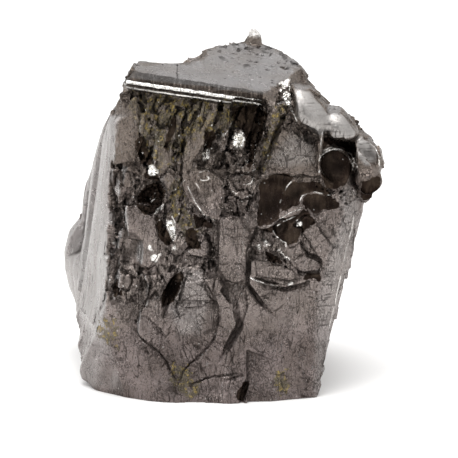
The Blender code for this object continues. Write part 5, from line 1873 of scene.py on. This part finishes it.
    def glass_and_painted_dark_color(self) -> Any:
        """The glassy scoops: near black, partly painted dark reflection, with bands and clouds of resin
        brown.

        Returns:
            The colour.
        """
        bands = self.noise(self.mapped(self.place, 2.0, (0.0, 35.0, 0.0), (2.4, 0.7, 0.5)), 1.0, 3.0, 0.6)
        drift = self.noise(self.place, 0.35)
        brown = self.total(self.ranged(bands, 0.45, 0.65, 0.0, 0.3), self.ranged(drift, 0.48, 0.6, 0.0, 0.45))
        return self.mixed(brown, self.finish.glass.rgba, self.finish.resin.rgba)

    def strokes(self) -> Any:
        """The dark strokes, grit, striations and dust that cover the surface.

        Returns:
            The mask.
        """
        lines = self.product(self.effect(knob_striations(), self.place)[0], self.marks.knob)
        grit = self.highest(self.product(self.hackles[0], 0.5), self.product(self.specks[1], 0.62))
        grit = self.without(self.without(grit, self.calm), self.marks.knob)
        fine = self.product(self.dust[0], self.blended(self.calm, 0.42, 0.2))
        return self.highest(grit, self.product(lines, 0.55), fine)

    def dark_marks_and_painted_shade(self) -> Any:
        """The painted shade in the hollows, and the dark cracks, slits and pits.

        Returns:
            The mask.
        """
        marks = self.marks
        return self.highest(
            # Painted shade: darker where the surface is sunk below its neighbours.
            self.product(marks.sunk, 0.75),
            self.product(marks.ledge_dark, 0.9),
            self.product(self.hairlines, 0.78),
            self.product(marks.line, 0.9),
            self.product(marks.left, self.fibres[1]),
            marks.pits,
        )

    def painted_highlight_marks(self) -> Any:
        """The painted highlights: the glints, the light lines along the rims and ledges, and the sparkling
        points.

        Returns:
            The mask.
        """
        marks = self.marks
        sparkle = self.product(self.specks[2], self.blended(marks.rough, 0.25, 0.9))
        return self.highest(marks.glint, self.product(marks.rim, 0.68), marks.ledge_painted_highlight, sparkle)

    def roughness(self, bright: Any) -> Any:
        """How rough the surface is.

        Args:
            bright: the mask of the painted highlights.

        Returns:
            The roughness.
        """
        finish, marks = self.finish, self.marks
        spread, cloud = 0.12, self.noise(self.place, 0.9, 3.0)
        rough = self.blended(cloud, finish.fresh_roughness - spread, finish.fresh_roughness + spread)
        rough = self.less(rough, self.product(self.hidden, self.ranged(self.plate, 0.44, 0.56), 0.12))
        for mask, value in (
            (marks.knob, finish.knob_roughness),
            (marks.glass, finish.glass_roughness),
            (marks.stain, finish.stain_roughness),
            (bright, finish.painted_highlight_roughness),
        ):
            rough = self.blended(mask, rough, value)
        return rough

    def relief(self) -> Any:
        """The normal of the fine relief that the mesh doesn't hold.

        Returns:
            The normal.
        """
        marks = self.marks
        cut = self.highest(self.product(self.hackles[0], 0.5), self.product(self.specks[1], 0.6))
        height = self.total(self.product(self.specks[0], 0.5), self.product(self.hackles[1], 0.35))
        height = self.without(self.less(height, cut), self.smooth)
        height = self.less(height, self.product(self.dust[0], 0.35))
        height = self.without(height, self.product(marks.glint, 0.8))
        height = self.less(height, self.highest(self.hairlines, marks.line))
        height = self.total(height, self.product(marks.left, self.fibres[0], 0.8))
        height = self.total(height, self.product(marks.flake, 0.8))
        return self.add("Bump", {"Height": height, "Strength": 0.7, "Distance": 0.1 * MM})[0]

    def build(self) -> bpy.types.Material:
        """Makes the surface.

        Returns:
            The material.
        """
        finish, marks = self.finish, self.marks
        tilt = self.highest(self.blended(self.broken, 0.05, 0.38), self.product(self.hidden, 0.16))
        facets = self.effect(small_facets(), self.place, self.relief(), self.without(tilt, self.calm))
        bright = self.painted_highlight_marks()
        # The tip of the peak is coloured near white, with less metal.
        peak = self.ranged(self.total(self.upward, self.noise(self.place, 1.6, 3.0)), 41.3, 41.9)
        strips = self.product(marks.left, self.less(1.0, self.fibres[0]), 0.45)
        color = self.painted(
            self.break_color(facets[1]),
            (self.product(marks.stain, self.blended(marks.flake, 0.8, 0.35)), self.stain_color()),
            (self.without(self.product(self.specks[0], 0.5), self.calm), finish.warm),
            (self.strokes(), finish.deep),
            (self.without(self.product(self.dust[1], 0.3), marks.glass), finish.silver),
            (self.without(self.product(self.hackles[1], 0.35), self.smooth), finish.silver),
            (strips, finish.fresh),
            # The scoops: partly their own black glass, partly painted dark reflection.
            (self.product(marks.glass, self.blended(self.dust[1], 0.99, 0.86)), self.glass_and_painted_dark_color()),
            (self.dark_marks_and_painted_shade(), finish.deep),
            # Painted highlights: glints, rim lines, ledge lines and sparkles.
            (bright, finish.bright),
            (peak, finish.tip_white),
        )
        glassy = self.ranged(self.attribute("glass"), -0.05, 0.05)
        metallic = self.without(self.blended(marks.stain, 0.97, 0.6), self.product(peak, 0.8))
        surface = self.tree.nodes["Principled BSDF"].inputs
        self.feed(color, surface["Base Color"])
        self.feed(self.roughness(bright), surface["Roughness"])
        self.feed(metallic, surface["Metallic"])
        self.feed(self.mixed(glassy, finish.edge.rgba, finish.glass_edge.rgba), surface["Specular Tint"])
        self.feed(facets[0], surface["Normal"])
        return self.material


# ---- The studio -----------------------------------------------------------------------------------
@dataclass(frozen=True)
class Softbox:
    """A soft light aimed at the stone: its place and width in metres, and its power in watts."""

    name: str
    place: Triple
    size: float
    power: float


@dataclass(frozen=True)
class Studio:
    """The pale table, the soft lights, the white tent around them and the camera.

    Places are in metres, angles in degrees, and the lens and the sensor in millimetres. opening is how far
    from its middle the tent's dark opening ends, and how far it is quite dark.
    """

    aim: Triple = (0.00083, 0.0, 0.018)
    distance: float = 0.234
    elevation: float = 12.0
    lens: float = 150.0
    sensor: float = 36.0
    # The table's colour near the camera and far behind it: painted falloff of the light, darker toward the
    # front.
    floor: Tint = Tint(0.84, 0.832, 0.822)
    floor_far_painted_light: Tint = Tint(0.88, 0.88, 0.88)
    opening: tuple[float, float] = (34.0, 16.0)
    softboxes: tuple[Softbox, ...] = (
        Softbox("left_softbox", (-0.42, -0.28, 0.36), 0.5, 0.8),
        Softbox("top_softbox", (0.0, -0.05, 0.7), 0.5, 2.6),
        Softbox("front_softbox", (-0.28, -0.34, 0.5), 0.12, 0.35),
    )

    def build(self) -> None:
        """Makes the floor, the lights, the surroundings and the camera."""
        self.make_floor()
        for softbox in self.softboxes:
            self.make_softbox(softbox)
        self.make_surround()
        self.make_camera()
        bpy.context.scene.view_settings.view_transform = "Standard"

    def make_floor(self) -> None:
        """A wide pale table, a little darker toward the front as painted falloff of the light."""
        mesh = bpy.data.meshes.new("table")
        half = 6.0
        corners = [(-half, -half, 0.0), (half, -half, 0.0), (half, half, 0.0), (-half, half, 0.0)]
        mesh.from_pydata(corners, [], [(0, 1, 2, 3)])
        table = bpy.data.objects.new("table", mesh)
        bpy.context.scene.collection.objects.link(table)
        material = bpy.data.materials.new("pale_table")
        material.use_nodes = True
        surface = material.node_tree.nodes["Principled BSDF"]
        nodes = Nodes(material.node_tree)
        behind = nodes.parts(nodes.add("TexCoord")["Object"])[1]
        # Painted falloff of the light: darker toward the front, lighter behind the stone.
        color = nodes.mixed(nodes.ranged(behind, -0.1, 0.25), self.floor.rgba, self.floor_far_painted_light.rgba)
        nodes.feed(color, surface.inputs["Base Color"])
        surface.inputs["Roughness"].default_value = 0.9
        surface.inputs["Specular IOR Level"].default_value = 0.0
        mesh.materials.append(material)

    def make_softbox(self, softbox: Softbox) -> None:
        """Adds one soft light, aimed at the stone.

        Args:
            softbox: its place, width and power.
        """
        light = bpy.data.lights.new(softbox.name, "AREA")
        light.shape = "DISK"
        light.size = softbox.size
        light.energy = softbox.power
        obj = bpy.data.objects.new(softbox.name, light)
        obj.location = softbox.place
        obj.rotation_euler = (Vector(self.aim) - obj.location).to_track_quat("-Z", "Y").to_euler()
        bpy.context.scene.collection.objects.link(obj)

    def make_surround(self) -> None:
        """A white light tent with the dark opening that the camera looks through."""
        world = bpy.data.worlds.new("light_tent")
        world.use_nodes = True
        bpy.context.scene.world = world
        nodes = Nodes(world.node_tree)
        direction = nodes.add("TexCoord")["Generated"]
        tilt = math.radians(self.elevation)
        toward = (0.0, -math.cos(tilt), math.sin(tilt))
        facing = nodes.add("VectorMath", {0: direction, 1: toward}, operation="DOT_PRODUCT")["Value"]
        outer, inner = (math.cos(math.radians(angle)) for angle in self.opening)
        shade = nodes.ranged(facing, outer, inner, 1.0, 0.04)
        light = nodes.product(shade, nodes.ranged(nodes.parts(direction)[2], 0.2, 0.9, 0.9, 1.5))
        seen = nodes.add("LightPath")["Is Camera Ray"]
        background = world.node_tree.nodes["Background"].inputs
        background["Color"].default_value = (1.0, 1.0, 1.0, 1.0)
        nodes.feed(nodes.blended(seen, light, 1.0), background["Strength"])

    def make_camera(self) -> None:
        """The camera, a little above the stone."""
        camera = bpy.data.cameras.new("camera")
        camera.lens = self.lens
        camera.sensor_width = self.sensor
        camera.clip_start = 0.01
        camera.clip_end = 20.0
        obj = bpy.data.objects.new("camera", camera)
        angle = math.radians(self.elevation)
        back = Vector((0.0, -math.cos(angle), math.sin(angle)))
        obj.location = Vector(self.aim) + back * self.distance
        obj.rotation_euler = (-back).to_track_quat("-Z", "Y").to_euler()
        bpy.context.scene.collection.objects.link(obj)
        bpy.context.scene.camera = obj


def main(frame: dict[str, Any]) -> None:
    """Builds the stone and the studio.
    """
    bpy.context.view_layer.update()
    stone = Stone(frame["nodes"][NODE]).build()
    stone.data.materials.clear()
    stone.data.materials.append(StoneMaterial(ShungiteFinish()).build())
    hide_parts(NODE)
    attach(stone, BODY)
    log.info("stone: %d points", len(stone.data.vertices))
    Studio().build()
    log.info("studio: table, tent, lights and camera")


if __name__ == "__main__":
    logging.basicConfig(level=logging.INFO, stream=sys.stdout, format="%(message)s")
    main(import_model())
